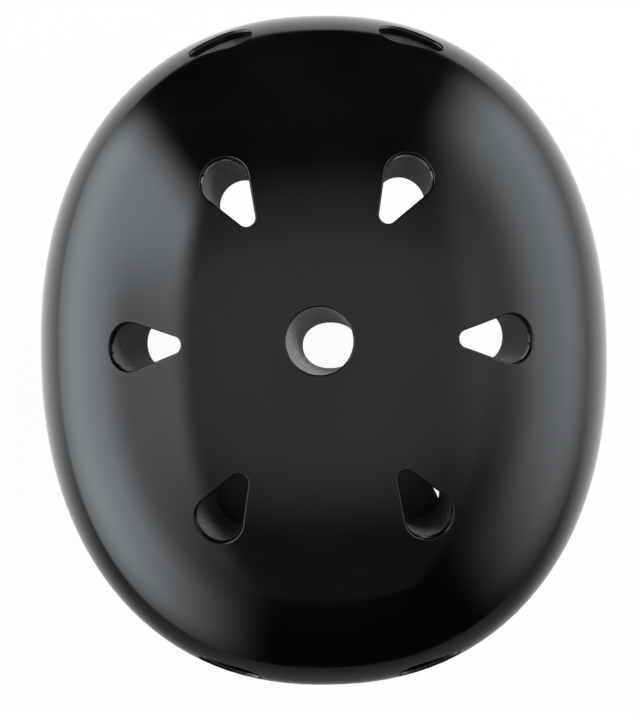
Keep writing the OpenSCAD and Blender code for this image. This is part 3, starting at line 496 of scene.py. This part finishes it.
def pad_section(t):
    """Share of the outline and of the depth, from the cushion's crown, over its edge at 0.6, to its back."""
    if t < 0.6:
        a = math.pi / 2 * t / 0.6
        return math.sin(a) ** PAD_ROUNDNESS, PAD_EDGE + (1 - PAD_EDGE) * math.cos(a) ** PAD_ROUNDNESS
    if t < 0.72:
        return 1 - 0.03 * (t - 0.6) / 0.12, PAD_EDGE * (1 - (t - 0.6) / 0.12)
    return 0.97 * (1 - t) / 0.28, 0


def groove(distance, width):
    return math.exp(-(distance / width) ** 2)


def piping(name, edge_place, radius=0.8):
    """A welt round the edge of a pad, from a torus laid along it."""
    obj = start_piece(bpy.ops.mesh.primitive_torus_add, name, major_segments=192, minor_segments=8,
                      major_radius=1, minor_radius=0.25)
    places = spots(obj)
    for i, (x, y, z) in enumerate(places):
        turn, roll = math.atan2(y, x), math.atan2(z, math.hypot(x, y) - 1)
        middle, out = edge_place(turn, 1), (edge_place(turn, 1.02) - edge_place(turn, 0.98)).normalized()
        along = (edge_place(turn + 0.01, 1) - edge_place(turn - 0.01, 1)).normalized()
        places[i] = middle + radius * (math.cos(roll) * out + math.sin(roll) * out.cross(along))
    move_spots(obj, places)
    in_edit(obj, face_out)
    return obj


SEAM_WIDTH, SEAM_SINK, PUCKER, PUCKERS_ROUND = 0.045, 0.34, 0.022, 58


def cushion(name, place, seams, across=112):
    """A sewn pad from a sphere. Each seam gives the distance to a sewn line at u and v."""
    obj = start_piece(bpy.ops.mesh.primitive_uv_sphere_add, name, segments=across, ring_count=44, radius=1)
    places = spots(obj)
    for i, (x, y, z) in enumerate(places):
        t, turn = math.acos(max(-1, min(1, z))) / math.pi, math.atan2(y, x)
        share, depth = pad_section(t)
        u = share * signed_power(math.cos(turn), PAD_SQUARENESS)
        v = share * signed_power(math.sin(turn), PAD_SQUARENESS)
        if t < 0.55:
            sunk = max(groove(seam(u, v), SEAM_WIDTH) for seam in seams)
            depth -= SEAM_SINK * sunk * (1 - 0.5 * share ** 4)
            depth += PUCKER * math.sin(PUCKERS_ROUND * turn) * share ** 6
        places[i] = place(u, v, depth)
    move_spots(obj, places)
    in_edit(obj, face_out)

    def edge(turn, size):
        return place(size * signed_power(math.cos(turn), PAD_SQUARENESS),
                     size * signed_power(math.sin(turn), PAD_SQUARENESS), WELT_LEVEL)
    join(obj, piping(name + "_welt", edge))
    soften_shading(obj, 50)
    return obj


def crown_cushion():
    """The crown pad, a ring round its oval hole, from a torus."""
    obj = start_piece(bpy.ops.mesh.primitive_torus_add, "crown_cushion", major_segments=144,
                      minor_segments=40, major_radius=1, minor_radius=0.4)
    places = spots(obj)

    def lies_at(turn, share, depth):
        rim = Vector((CROWN_PAD_R * math.cos(turn), CROWN_PAD_R * math.sin(turn), 0))
        x, y, _ = crown_hole(turn, 1.2).lerp(rim, share)
        return Vector((x, y, dome_height(x, y, PAD_INSET + PAD_THICK * depth)))
    for i, (x, y, z) in enumerate(places):
        turn, roll = math.atan2(y, x), math.atan2(z, math.hypot(x, y) - 1)
        lift = math.sin(roll)
        if lift > 0:
            depth = PAD_EDGE + (1 - PAD_EDGE) * lift ** PAD_ROUNDNESS
        else:
            depth = PAD_EDGE * (1 - (-lift) ** 0.4)
        share = 0.5 + 0.5 * signed_power(math.cos(roll), PAD_ROUNDNESS)
        if lift > 0.1:
            depth -= 0.3 * groove(math.sin(2 * (turn - math.pi / 4)), 0.11) * lift
            depth += 0.02 * math.sin(64 * turn) * abs(2 * share - 1) ** 6
        places[i] = lies_at(turn, share, depth)
    move_spots(obj, places)
    in_edit(obj, face_out)
    join(obj, piping("crown_welt", lambda turn, size: lies_at(turn, size, WELT_LEVEL)),
         piping("hole_welt", lambda turn, size: lies_at(turn, size - 1, WELT_LEVEL), 0.6))
    soften_shading(obj, 50)
    return obj


def upright_seams(*places):
    return [lambda u, v, place=place: u - place for place in places]


def level_seams(*places):
    return [lambda u, v, place=place: v - place for place in places]


def oval_seam(u, v):
    return math.hypot(u, v) - 0.56


def slanted_seam(u, v):
    """A line across the oval, which ends at it."""
    return abs(u - v) + 4 * max(0, math.hypot(u, v) - 0.5)


def make_pads(fabric):
    def sew(obj, node):
        settle(obj, "helmet", fabric, "pad", node)
    brow_seams = upright_seams(-0.62, -0.22, 0.22, 0.62)
    sew(cushion("brow_cushion", wall_pad_place(*BROW_PAD), brow_seams, across=168), "brow_pad")
    left = cushion("left_cushion", wall_pad_place(*SIDE_PAD), [oval_seam, slanted_seam])
    right = mirrored(left, "right_cushion")
    sew(left, "side_pad_left")
    sew(right, "side_pad_right")
    sew(cushion("rear_cushion", wall_pad_place(*REAR_PAD), level_seams(-0.33, 0.33)), "rear_pad")
    sew(crown_cushion(), "crown_pad")
    sew(cushion("nape_cushion", nape_pad_place, upright_seams(-0.45, 0.45)), "nape_pad")


# Webbing and moulded strips. A station is a point and the way that the strip's face looks

def cut_corners(route, rounds):
    for _ in range(rounds):
        new = [route[0]]
        for (p, f), (q, g) in zip(route, route[1:]):
            new += [(p * 0.75 + q * 0.25, f * 0.75 + g * 0.25), (p * 0.25 + q * 0.75, f * 0.25 + g * 0.75)]
        route = new + [route[-1]]
    return route


def spaced(route, spacing):
    """Adds stations, so that no two are further apart than the spacing."""
    new = [route[0]]
    for (p, f), (q, g) in zip(route, route[1:]):
        steps = max(1, math.ceil((q - p).length / spacing))
        new += [(p.lerp(q, k / steps), f.lerp(g, k / steps)) for k in range(1, steps + 1)]
    return new


def fitted(route):
    return spaced(cut_corners(route, 3), 2.5)


def ribbon(name, route, start_width, end_width, section, round_start=0):
    """A strip along a route. The section lists shares of half the width across, and millimetres out."""
    rings, marks, run = [], [], 0
    last = len(route) - 1
    for i, (point, face) in enumerate(route):
        along = (route[min(i + 1, last)][0] - route[max(i - 1, 0)][0]).normalized()
        across = face.cross(along).normalized()
        out = along.cross(across).normalized()
        half = (start_width + (end_width - start_width) * i / last) / 2
        run += (point - route[i - 1][0]).length if i else 0
        if run < round_start:
            half = max(math.sqrt(round_start ** 2 - (round_start - run) ** 2), 0.8)
        rings.append([point + across * a * half + out * b for a, b in section])
        marks.append([(a * half, run, b) for a, b in section])
    obj = ring_cutter(name, rings, marks)
    soften_shading(obj, 50)
    return obj


WEBBING_SECTION = [(-1, 0.25), (-0.985, 0.6), (-0.94, 0.74), (-0.8, 0.72), (-0.4, 0.74), (0, 0.72),
                   (0.4, 0.74), (0.8, 0.72), (0.94, 0.74), (0.985, 0.6), (1, 0.25)]
WEBBING_SECTION += [(a, -b) for a, b in reversed(WEBBING_SECTION)]
STRIP_SECTION = [(-1, 0.35), (-0.96, 0.7), (-0.9, 0.8), (-0.74, 0.8), (-0.66, 0.5), (0, 0.5), (0.66, 0.5),
                 (0.74, 0.8), (0.9, 0.8), (0.96, 0.7), (1, 0.35)]
STRIP_SECTION += [(1, -0.35), (0.96, -0.7), (0.9, -0.8), (0, -0.8), (-0.9, -0.8), (-0.96, -0.7), (-1, -0.35)]

DIVIDER = Vector((87, -33, -102))
STRAP_START = WEBBING_WIDTH / 2 + 5
BUCKLE_Z, BAR_X, EYE_MID, TAIL_GAP, TAIL_CORNER = -168, 25.8, 2.7, 1.9, 34
X_WAY, DOWN, BACK_WAY = Vector((1, 0, 0)), Vector((0, 0, -1)), Vector((0, 1, 0))


def v_strap_route(turn):
    """From its rivet down the inside of the shell, and across to the divider."""
    angle, level = FRONT + turn, edge_level(turn)
    edge = wall_point(angle, level - 2, STRAP_INSET)
    out = wall_normal(angle, level, 0)
    way = Vector((0, edge.y - DIVIDER.y, edge.z - DIVIDER.z)).normalized()
    return [(wall_point(angle, level + RIVET_RISE + STRAP_OVERLAP, STRAP_INSET), out), (edge, out),
            (DIVIDER + way * (STRAP_START + 12), X_WAY), (DIVIDER + way * STRAP_START, X_WAY)]


def chin_route(tail_share):
    """From the divider down the slope, round the buckle's bar and back as the free end."""
    y = DIVIDER.y
    top, end = DIVIDER + 22 * DOWN, Vector((BAR_X + 9, y, BUCKLE_Z + EYE_MID + 1.5))
    slope = (end - top).normalized()
    out = Vector((-slope.z, 0, slope.x))
    main = [(DIVIDER - 7.9 * DOWN, X_WAY), (top, X_WAY), (top + slope * 8, out), (end - slope * 8, out),
            (end, DOWN), (Vector((BAR_X, y, BUCKLE_Z + EYE_MID)), DOWN)]
    turns = [math.radians(90 + 15 * k) for k in range(1, 12)]
    bend = [(Vector((BAR_X + EYE_MID * math.cos(a), y, BUCKLE_Z + EYE_MID * math.sin(a))),
             -Vector((math.cos(a), 0, math.sin(a)))) for a in turns]
    corner = Vector((TAIL_CORNER, y, BUCKLE_Z - EYE_MID))
    start = end * tail_share + top * (1 - tail_share) + out * TAIL_GAP
    tail = [(Vector((BAR_X, y, BUCKLE_Z - EYE_MID)), -DOWN), (corner, -DOWN),
            (end + out * TAIL_GAP - slope * 8, -out), (start, -out)]
    return cut_corners(main, 3) + bend + cut_corners(tail, 3)


def make_webbing(weave):
    for turn, name in zip(RIVET_TURNS, ("front", "rear")):
        left = ribbon(name + "_webbing_left", fitted(v_strap_route(turn)), WEBBING_WIDTH, WEBBING_WIDTH,
                      WEBBING_SECTION)
        right = mirrored(left, name + "_webbing_right")
        settle(left, "helmet", weave, "webbing", name + "_strap_left")
        settle(right, "helmet", weave, "webbing", name + "_strap_right")
    for side, share in (("left", 0.3), ("right", 0.72)):
        strap = ribbon("chin_webbing_" + side, spaced(chin_route(share), 1.6), WEBBING_WIDTH, WEBBING_WIDTH,
                       WEBBING_SECTION, round_start=WEBBING_WIDTH / 2)
        if side == "right":
            change_sides(strap)
        settle(strap, "chin_loop", weave, "webbing", "chin_strap_" + side)


STRIP_INSET, BAND_WIDTH, ARM_WIDTH, ARM_FOOT_WIDTH, RACK_RISE = 30.3, 11, 15.5, 14, 2.5
ARM_FOOT, ARM_PIN_PLACE, SOCKET_RISE, SOCKET_R, SOCKET_DEPTH = (20, 97.1), (59.3, 50), 4.4, 1.4, 6
BAND_MARKS = [(-41, -11), (-36, -11), (-29, -11), (-10, -10), (14, -10), (34, -24), (50, -46)]
ARM_MARKS = [(59, 62), (59, 56), (59.5, 50), (61, 38), (64, 24), (68, 6), (72, -14), (75, -36)]


def band_route(side):
    """From the temple along the liner, and round to the end of a rack."""
    z = DIAL_Z + side * RACK_RISE
    inside = [(wall_point(angle, level, STRIP_INSET), wall_normal(angle, 0, STRIP_INSET))
              for angle, level in BAND_MARKS]
    return inside + [(Vector((53, 85.7, z + 4)), Vector((0.5, 1, 0)).normalized()),
                     (Vector((43, 94.1, z)), BACK_WAY), (Vector((37.3, 94.7, z)), BACK_WAY)]


def arm_route():
    """From under a rear vent down the liner to the top of the housing."""
    inside = [(wall_point(angle, level, STRIP_INSET), wall_normal(angle, level, STRIP_INSET))
              for angle, level in ARM_MARKS]
    return inside + [(Vector((ARM_FOOT[0], ARM_FOOT[1], DIAL_Z + rise)), BACK_WAY) for rise in (19, 10.3)]


def make_cradle_strips(moulded):
    """The side bands, and the arms with their spare height sockets, which are blind."""
    for side, name, body in ((1, "left", "left_rack"), (-1, "right", "right_rack")):
        band = ribbon("side_band_" + name, fitted(band_route(side)), BAND_WIDTH, BAND_WIDTH, STRIP_SECTION)
        if side < 0:
            change_sides(band)
        settle(band, None, moulded, "nylon", "band_" + name)
        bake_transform(band)
    left = ribbon("cradle_strip_left", fitted(arm_route()), ARM_WIDTH, ARM_FOOT_WIDTH, STRIP_SECTION)
    angle, level = ARM_PIN_PLACE
    sockets = []
    for step in (-1, 1, 2):
        stand = on_wall(angle, level + step * SOCKET_RISE, CAVITY_INSET)
        socket = start_piece(bpy.ops.mesh.primitive_cylinder_add, "socket", vertices=24, radius=SOCKET_R,
                             depth=SOCKET_DEPTH)
        socket.data.transform(stand @ Matrix.Translation((0, 0, -0.2)))
        sockets.append(socket)
    cut_out(left, sockets)
    soften_shading(left, 50)
    right = mirrored(left, "cradle_strip_right")
    settle(left, "helmet", moulded, "nylon", "cradle_arm_left")
    settle(right, "helmet", moulded, "nylon", "cradle_arm_right")


# Hard parts keep their solids' shape, with every sharp edge broken

def eased(node, body, finish, slot, edge):
    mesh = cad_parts[node].data.copy()
    obj = bpy.data.objects.new(node + "_eased", mesh)
    bpy.context.scene.collection.objects.link(obj)
    mesh.transform(Matrix.Scale(1 / MM, 4))
    in_edit(obj, merge_doubles, face_out,
            lambda: bpy.ops.mesh.dissolve_limited(angle_limit=math.radians(0.6), delimit={"NORMAL"}))
    finish_with(obj, "BEVEL", width=edge, segments=2, limit_method="ANGLE", angle_limit=math.radians(35))
    soften_shading(obj, 40)
    settle(obj, body, finish, slot, node)


# The slot, the body, the width of the broken edges, and the nodes
HARDWARE = [
    ("moulding", "helmet", 0.5, "divider_left", "divider_right"),
    ("moulding", "helmet", 0.4, "cradle_housing", "cradle_cover"),
    ("rubber", "dial", 0.3, "fit_dial"),
    ("nylon", "dial", 0.06, "dial_pinion"),
    ("nylon", "left_rack", 0.06, "rack_left"),
    ("nylon", "right_rack", 0.06, "rack_right"),
    ("nylon", "helmet", 0.2, "temple_pins", "arm_pins"),
    ("moulding", "chin_loop", 0.4, "buckle_socket"),
    ("moulding", "chin_loop", 0.3, "buckle_plug"),
    ("moulding", "front_prong", 0.25, "prong_front"),
    ("moulding", "rear_prong", 0.25, "prong_rear"),
    ("rubber", "keeper", 0.3, "strap_keeper"),
    ("steel", "helmet", 0.2, "strap_rivets"),
    ("steel", "helmet", 0.12, "rivet_washers"),
    ("steel", "helmet", 0.08, "cover_screws"),
    ("hook", "helmet", 0.3, "hook_dots")]


def make_hardware(finishes):
    for slot, body, edge, *nodes in HARDWARE:
        for node in nodes:
            eased(node, body, finishes[slot], slot, edge)


# Finishes

class Value:
    """A socket that can be used in sums. Each sum adds its Math node."""

    def __init__(self, finish, socket):
        self.finish, self.socket = finish, socket

    def sum(self, operation, first, second):
        return self.finish.node("ShaderNodeMath", {"operation": operation}, {0: first, 1: second})

    def __add__(self, other): return self.sum("ADD", self, other)
    def __radd__(self, other): return self.sum("ADD", other, self)
    def __sub__(self, other): return self.sum("SUBTRACT", self, other)
    def __rsub__(self, other): return self.sum("SUBTRACT", other, self)
    def __mul__(self, other): return self.sum("MULTIPLY", self, other)
    def __rmul__(self, other): return self.sum("MULTIPLY", other, self)
    def sine(self): return self.finish.node("ShaderNodeMath", {"operation": "SINE"}, {0: self})
    def most(self, other): return self.sum("MAXIMUM", self, other)
    def least(self, other): return self.sum("MINIMUM", self, other)

    def between(self, low, high, new_low=0.0, new_high=1.0):
        """Runs smoothly from the new low to the new high while this value goes from low to high."""
        ends = {"From Min": low, "From Max": high, "To Min": new_low, "To Max": new_high}
        return self.finish.node("ShaderNodeMapRange", {"interpolation_type": "SMOOTHSTEP"},
                                {"Value": self, **ends})


class Wiring:
    """An emptied node tree with the nodes that finishes and the studio share."""

    def __init__(self, tree):
        self.tree = tree
        tree.nodes.clear()

    def put(self, socket, value):
        if isinstance(value, Value):
            self.tree.links.new(value.socket, socket)
        elif isinstance(value, tuple) and len(value) == 3 and socket.type == "RGBA":
            socket.default_value = (*value, 1)
        else:
            socket.default_value = value

    def node(self, kind, settings=None, inputs=None, output=0):
        made = self.tree.nodes.new(kind)
        for name, value in (settings or {}).items():
            setattr(made, name, value)
        for name, value in (inputs or {}).items():
            self.put(made.inputs[name], value)
        return Value(self, made.outputs[output])

    def place(self):
        return self.node("ShaderNodeTexCoord", output="Object")

    def on_piece(self, stretch, turn=(0, 0, 0)):
        return self.node("ShaderNodeMapping", None, {
            "Vector": self.place(), "Scale": stretch, "Rotation": turn})

    def attribute(self, name):
        return self.node("ShaderNodeAttribute", {"attribute_name": name}, output="Vector")

    def noise(self, size, detail, rough, where=None):
        return self.node("ShaderNodeTexNoise", None, {
            "Vector": where or self.place(), "Scale": 1 / size, "Detail": detail, "Roughness": rough})

    def cells(self, size, feature="F1", where=None, output="Distance"):
        return self.node("ShaderNodeTexVoronoi", {"feature": feature}, {
            "Vector": where or self.place(), "Scale": 1 / size}, output)

    def axes(self, where):
        return [self.node("ShaderNodeSeparateXYZ", None, {0: where}, axis) for axis in "XYZ"]

    def ray(self, *kinds):
        """One where a ray is of any of these kinds."""
        first, *others = [self.node("ShaderNodeLightPath", output=f"Is {kind} Ray") for kind in kinds]
        for other in others:
            first = first.most(other)
        return first

    def either(self, share, first, second):
        """A mix of two shaders."""
        return self.node("ShaderNodeMixShader", None, {0: share, 1: first, 2: second})

    def blend(self, share, first, second):
        """A mix of two colours. Its sockets go by number, because their names repeat."""
        return self.node("ShaderNodeMix", {"data_type": "RGBA"}, {0: share, 6: first, 7: second}, output=2)

    def bump(self, height, depth):
        return self.node("ShaderNodeBump", None, {"Height": height, "Distance": depth, "Strength": 1.0})


class Finish(Wiring):
    """A material in the making, with its principled shader."""

    def __init__(self, name, **fixed):
        self.material = bpy.data.materials.new(name)
        self.material.use_nodes = True
        super().__init__(self.material.node_tree)
        self.shader = self.node("ShaderNodeBsdfPrincipled")
        self.output = self.tree.nodes.new("ShaderNodeOutputMaterial")
        self.put(self.output.inputs[0], self.shader)
        for name, value in fixed.items():
            self.give(name.replace("_", " "), value)

    def give(self, name, value):
        self.put(self.shader.socket.node.inputs[name], value)


def gloss_black():
    f = Finish("gloss_black_shell", IOR=1.5)
    haze = f.noise(0.045, 3, 0.6)
    specks = f.noise(0.0011, 2, 0.7).between(0.66, 0.74)
    f.give("Base Color", f.blend(haze.between(0.35, 0.7), (0.0018, 0.0019, 0.0019), (0.0030, 0.0031, 0.0031)))
    f.give("Roughness", haze.between(0.3, 0.75, 0.085, 0.135) + specks * 0.08)
    f.give("Normal", f.bump(f.noise(0.006, 1, 0.4), 0.000012))
    return f.material


BEAD = 0.0026


def beaded_foam():
    """Moulded foam with a skin, its beads pressed flat against each other. It is paler round the crown vent
    as painted light, and darker further out as painted shade in the side and rear channels.
    """
    f = Finish("beaded_foam_liner", Specular_IOR_Level=0.45)
    seam = f.cells(BEAD, "DISTANCE_TO_EDGE").between(0.0, 0.11)
    bead = f.axes(f.cells(BEAD, output="Color"))[0]
    pits = f.noise(0.0005, 2, 0.6)
    cloud = f.noise(0.02, 3, 0.6)
    x, y, _ = f.axes(f.place())
    # Painted light and shade: the foam takes paler tones near the crown axis and darker ones further out, in
    # the side and rear channels.
    crown = (x * x + y * y).between(0.0008, 0.002, 1, 0)
    groove_painted_light = f.blend(crown, (0.076, 0.077, 0.078), (0.185, 0.186, 0.189))
    dark_bead_painted_light = f.blend(crown, (0.088, 0.089, 0.091), (0.215, 0.217, 0.22))
    pale_bead_painted_light = f.blend(crown, (0.124, 0.125, 0.127), (0.30, 0.302, 0.305))
    f.give("Base Color", f.blend(seam, groove_painted_light, f.blend(bead * 0.6 + cloud * 0.4, dark_bead_painted_light, pale_bead_painted_light)))
    f.give("Roughness", 0.5 + pits * 0.16 + bead * 0.06)
    f.give("Normal", f.bump(seam * 0.6 + bead * 0.2 + pits * 0.1, 0.00012))
    return f.material


def pad_knit():
    f = Finish("black_knit", Sheen_Weight=0.3, Sheen_Roughness=0.45, Specular_IOR_Level=0.2)
    where = f.on_piece(stretch=(1, 1, 0.72))
    loops = f.cells(0.00115, where=where).between(0.05, 0.62)
    shade = f.noise(0.014, 3, 0.6)
    fuzz = f.noise(0.0003, 2, 0.7)
    yarn = f.blend(shade, (0.030, 0.030, 0.033), (0.043, 0.043, 0.047))
    f.give("Base Color", f.blend(loops, yarn, (0.009, 0.009, 0.010)))
    f.give("Roughness", 0.82 + fuzz * 0.12)
    f.give("Normal", f.bump(fuzz * 0.25 - loops, 0.00028))
    return f.material


def woven_webbing():
    """Herringbone webbing, laid out by each ribbon's own weave attribute, in millimetres across and along."""
    f = Finish("woven_webbing", Sheen_Weight=0.15, Sheen_Roughness=0.4, Specular_IOR_Level=0.35)
    across, along, _ = f.axes(f.attribute("weave"))
    zigzag = f.node("ShaderNodeMath", {"operation": "PINGPONG"}, {0: across + 40, 1: 1.6})
    picks = ((along * 1.1 + zigzag * 0.62) * 5.6).sine() * 0.5 + 0.5
    ribs = (across * 7.85).sine() * 0.5 + 0.5
    selvedge = (across * across).between(48, 58)
    stray = f.noise(0.0016, 3, 0.6)
    height = picks * 0.65 + ribs * 0.35
    thread = f.blend(height, (0.008, 0.008, 0.009), (0.034, 0.034, 0.037))
    f.give("Base Color", f.blend(stray.between(0.5, 0.8) * 0.5, thread, (0.05, 0.05, 0.053)))
    f.give("Roughness", 0.62 + stray * 0.2 - selvedge * 0.08)
    f.give("Normal", f.bump(height * (1 - selvedge * 0.6), 0.00022))
    return f.material


def moulded(name, low, high, rough, grain=0.00045, **fixed):
    """Moulded plastic or rubber with a fine spark-eroded grain and edges rubbed smooth."""
    f = Finish(name, **fixed)
    spread = f.noise(0.018, 3, 0.6)
    pebbles = f.noise(grain, 2, 0.55)
    rubbed = f.node("ShaderNodeNewGeometry", output="Pointiness").between(0.52, 0.6)
    scuffs = f.noise(1 / 260, 3, 0.7, f.on_piece((1, 1, 7), (0.6, 0.4, 0))).between(0.66, 0.78)
    bare = tuple(2.2 * c for c in high)
    f.give("Base Color", f.blend(rubbed * 0.45 + scuffs * 0.2, f.blend(spread, low, high), bare))
    f.give("Roughness", rough + (pebbles - 0.5) * 0.22 - rubbed * 0.1 + scuffs * 0.08)
    f.give("Normal", f.bump(pebbles * (1 - rubbed * 0.7), 0.00007))
    return f.material


def brushed_steel():
    f = Finish("brushed_steel", Metallic=1.0)
    streaks = f.noise(0.0011, 4, 0.7, f.on_piece((1, 9, 1)))
    stain = f.noise(0.004, 2, 0.6)
    f.give("Base Color", f.blend(stain, (0.24, 0.24, 0.245), (0.34, 0.34, 0.345)))
    f.give("Roughness", 0.3 + streaks * 0.2)
    f.give("Normal", f.bump(streaks, 0.00002))
    return f.material


def hook_tape():
    f = Finish("hook_tape", Specular_IOR_Level=0.4)
    stems = f.cells(0.00085).between(0.12, 0.55)
    f.give("Base Color", f.blend(stems, (0.07, 0.07, 0.075), (0.012, 0.012, 0.013)))
    f.give("Roughness", 0.4 + stems * 0.3)
    f.give("Normal", f.bump(1 - stems, 0.0004))
    return f.material


# How near the outer form a corner lies, and how far a facet looks its way, to take the form's own normal
ON_FACE, FACES_OUT = 0.0013, 0.72


def polish(obj):
    """Gives the settled shell its form's own normals outside, so its gloss runs smoothly up to each cut."""
    soften_shading(obj, 40)
    mesh = obj.data
    places = [Vector(place) for place in spots(obj) / MM]
    form = {i: face_normal(place, 0) for i, place in enumerate(places)
            if abs(face_offset(place, 0)) < ON_FACE}
    normals = [(0, 0, 0)] * len(mesh.loops)
    for face in mesh.polygons:
        for loop, vertex in zip(face.loop_indices, face.vertices):
            way = form.get(vertex)
            if way is not None and way.dot(face.normal) > FACES_OUT:
                normals[loop] = way
    mesh.normals_split_custom_set(normals)


# Floor, light and camera

FLOOR_R, FLOOR_GAP, CEILING, CARD = 0.42, 0.004, 0.56, 0.09
LEFT_WALL, RIGHT_WALL, BROW_GAIN = (3.4, 1.6), (2.6, 0.8), 2.2
KEY_PLACE, KEY_SIZE, KEY_POWER = (-0.55, -0.6, 0.95), 0.35, 13
CAMERA_PLACE, CAMERA_AIM = Vector((-15.72, 34.95, 999.27)), Vector((1.657, 2.965, -0.078))
CAMERA_RIGHT = Vector((-0.99964, 0.0213, -0.01647))
FOCAL_PX, PHOTO_HEIGHT, SENSOR = 2437.4, 715, 36


def floor_finish():
    """White to the eye, with a faint shadow. In the gloss it fades outwards and behind the nape."""
    f = Finish("white_floor", Base_Color=(0.8, 0.8, 0.8), Roughness=0.6)
    x, y, _ = f.axes(f.place())
    outwards = (x * x + y * y).between(0.1 * FLOOR_R ** 2, FLOOR_R ** 2, 0.95, 0.62)
    backwards = y.between(0.0, 0.25, 1, 0.12)
    seen = (outwards * backwards).most(f.ray("Camera", "Transmission"))
    white = f.node("ShaderNodeEmission", None, {"Color": f.blend(seen, (0, 0, 0), (1, 1, 1))})
    f.put(f.output.inputs[0], f.either(f.ray("Camera", "Glossy", "Transmission") * 0.96, f.shader, white))
    return f.material


def make_floor():
    low = cad_box[0][2] - FLOOR_GAP
    floor = start_piece(bpy.ops.mesh.primitive_circle_add, "floor", vertices=96, radius=FLOOR_R,
                        fill_type="NGON", location=(0, 0, low))
    bpy.ops.object.transform_apply(location=True, rotation=False, scale=False)
    floor.data.materials.append(floor_finish())


def make_world():
    """Two broad walls of light, on the left and right, and a dimmer ceiling that fades to brow and nape."""
    world = bpy.data.worlds.new("studio")
    bpy.context.scene.world = world
    world.use_nodes = True
    w = Wiring(world.node_tree)
    x, y, z = w.axes(w.node("ShaderNodeTexCoord", output="Generated"))
    ceiling = (z - y * y * 0.9).between(0.25, 0.95, 0.0, CEILING)
    card_sides = (z * 1.2 - x).least(z * 1.2 + x).between(-0.04, 0.04)
    card_ends = (z * 3 - y).least(z * 0.38 + y).between(-0.04, 0.04)
    left_foot = LEFT_WALL[1] + (0 - y).between(0.05, 0.45) * BROW_GAIN
    left = ((x * 0.72 - z * 0.69).between(-0.13, 0.03) * (x + y * 0.85).between(-0.02, 0.3)
            * (x - y * 0.35).between(-0.15, 0.85) * z.between(0.02, 0.4, LEFT_WALL[0], left_foot))
    right = ((-0.69 * z - x * 0.72).between(-0.25, 0.12) * (y * 0.51 - x).between(-0.02, 0.4)
             * (-0.6 * y - x).between(0, 1.25) * z.between(0.05, 0.55, *RIGHT_WALL))
    below = z.between(-0.75, -0.18, 0.15, 1)
    strength = ceiling + card_sides * card_ends * CARD + (left + right) * below
    sky = w.node("ShaderNodeBackground", None, {"Color": (0.91, 0.955, 1), "Strength": strength})
    white = w.node("ShaderNodeBackground", None, {"Color": (1, 1, 1)})
    output = w.tree.nodes.new("ShaderNodeOutputWorld")
    w.put(output.inputs[0], w.either(w.ray("Camera", "Transmission"), sky, white))


def make_key_box():
    """One soft box, which the gloss doesn't mirror."""
    light = bpy.data.lights.new("key_box", "AREA")
    light.size, light.energy = KEY_SIZE, KEY_POWER
    box = bpy.data.objects.new("key_box", light)
    bpy.context.scene.collection.objects.link(box)
    box.location = KEY_PLACE
    box.rotation_euler = Vector(KEY_PLACE).to_track_quat("Z", "Y").to_euler()
    box.visible_glossy = False


def make_camera():
    """The photo's camera, as it was fitted to the outline and the vents, in millimetres."""
    data = bpy.data.cameras.new("photo_camera")
    data.lens = FOCAL_PX * SENSOR / PHOTO_HEIGHT
    data.clip_start, data.clip_end = 0.05, 20
    camera = bpy.data.objects.new("photo_camera", data)
    bpy.context.scene.collection.objects.link(camera)
    back = (CAMERA_PLACE - CAMERA_AIM).normalized()
    right = (CAMERA_RIGHT - back * CAMERA_RIGHT.dot(back)).normalized()
    turn = Matrix((right, back.cross(right), back)).transposed()
    camera.matrix_world = Matrix.Translation(CAMERA_PLACE * MM) @ turn.to_4x4()
    bpy.context.scene.camera = camera


bpy.context.scene.view_settings.view_transform = "Standard"
make_camera()
make_floor()
make_world()
make_key_box()

shell_finish, foam_finish = gloss_black(), beaded_foam()
shell = make_shell()
settle(shell, "helmet", shell_finish, "shell", "outer_shell")
polish(shell)
liner = make_liner()
soften_shading(liner, 35)
settle(liner, "helmet", foam_finish, "foam", "foam_liner")

grey_nylon = moulded("grey_nylon", (0.042, 0.042, 0.044), (0.056, 0.056, 0.059), 0.4)
black_moulding = moulded("black_moulding", (0.011, 0.011, 0.012), (0.017, 0.017, 0.018), 0.36)
dull_rubber = moulded("dull_rubber", (0.017, 0.017, 0.018), (0.026, 0.026, 0.027), 0.66, 0.0003,
                      Specular_IOR_Level=0.35)
make_pads(pad_knit())
make_webbing(woven_webbing())
make_cradle_strips(grey_nylon)
make_hardware({"moulding": black_moulding, "nylon": grey_nylon, "rubber": dull_rubber,
               "steel": brushed_steel(), "hook": hook_tape()})
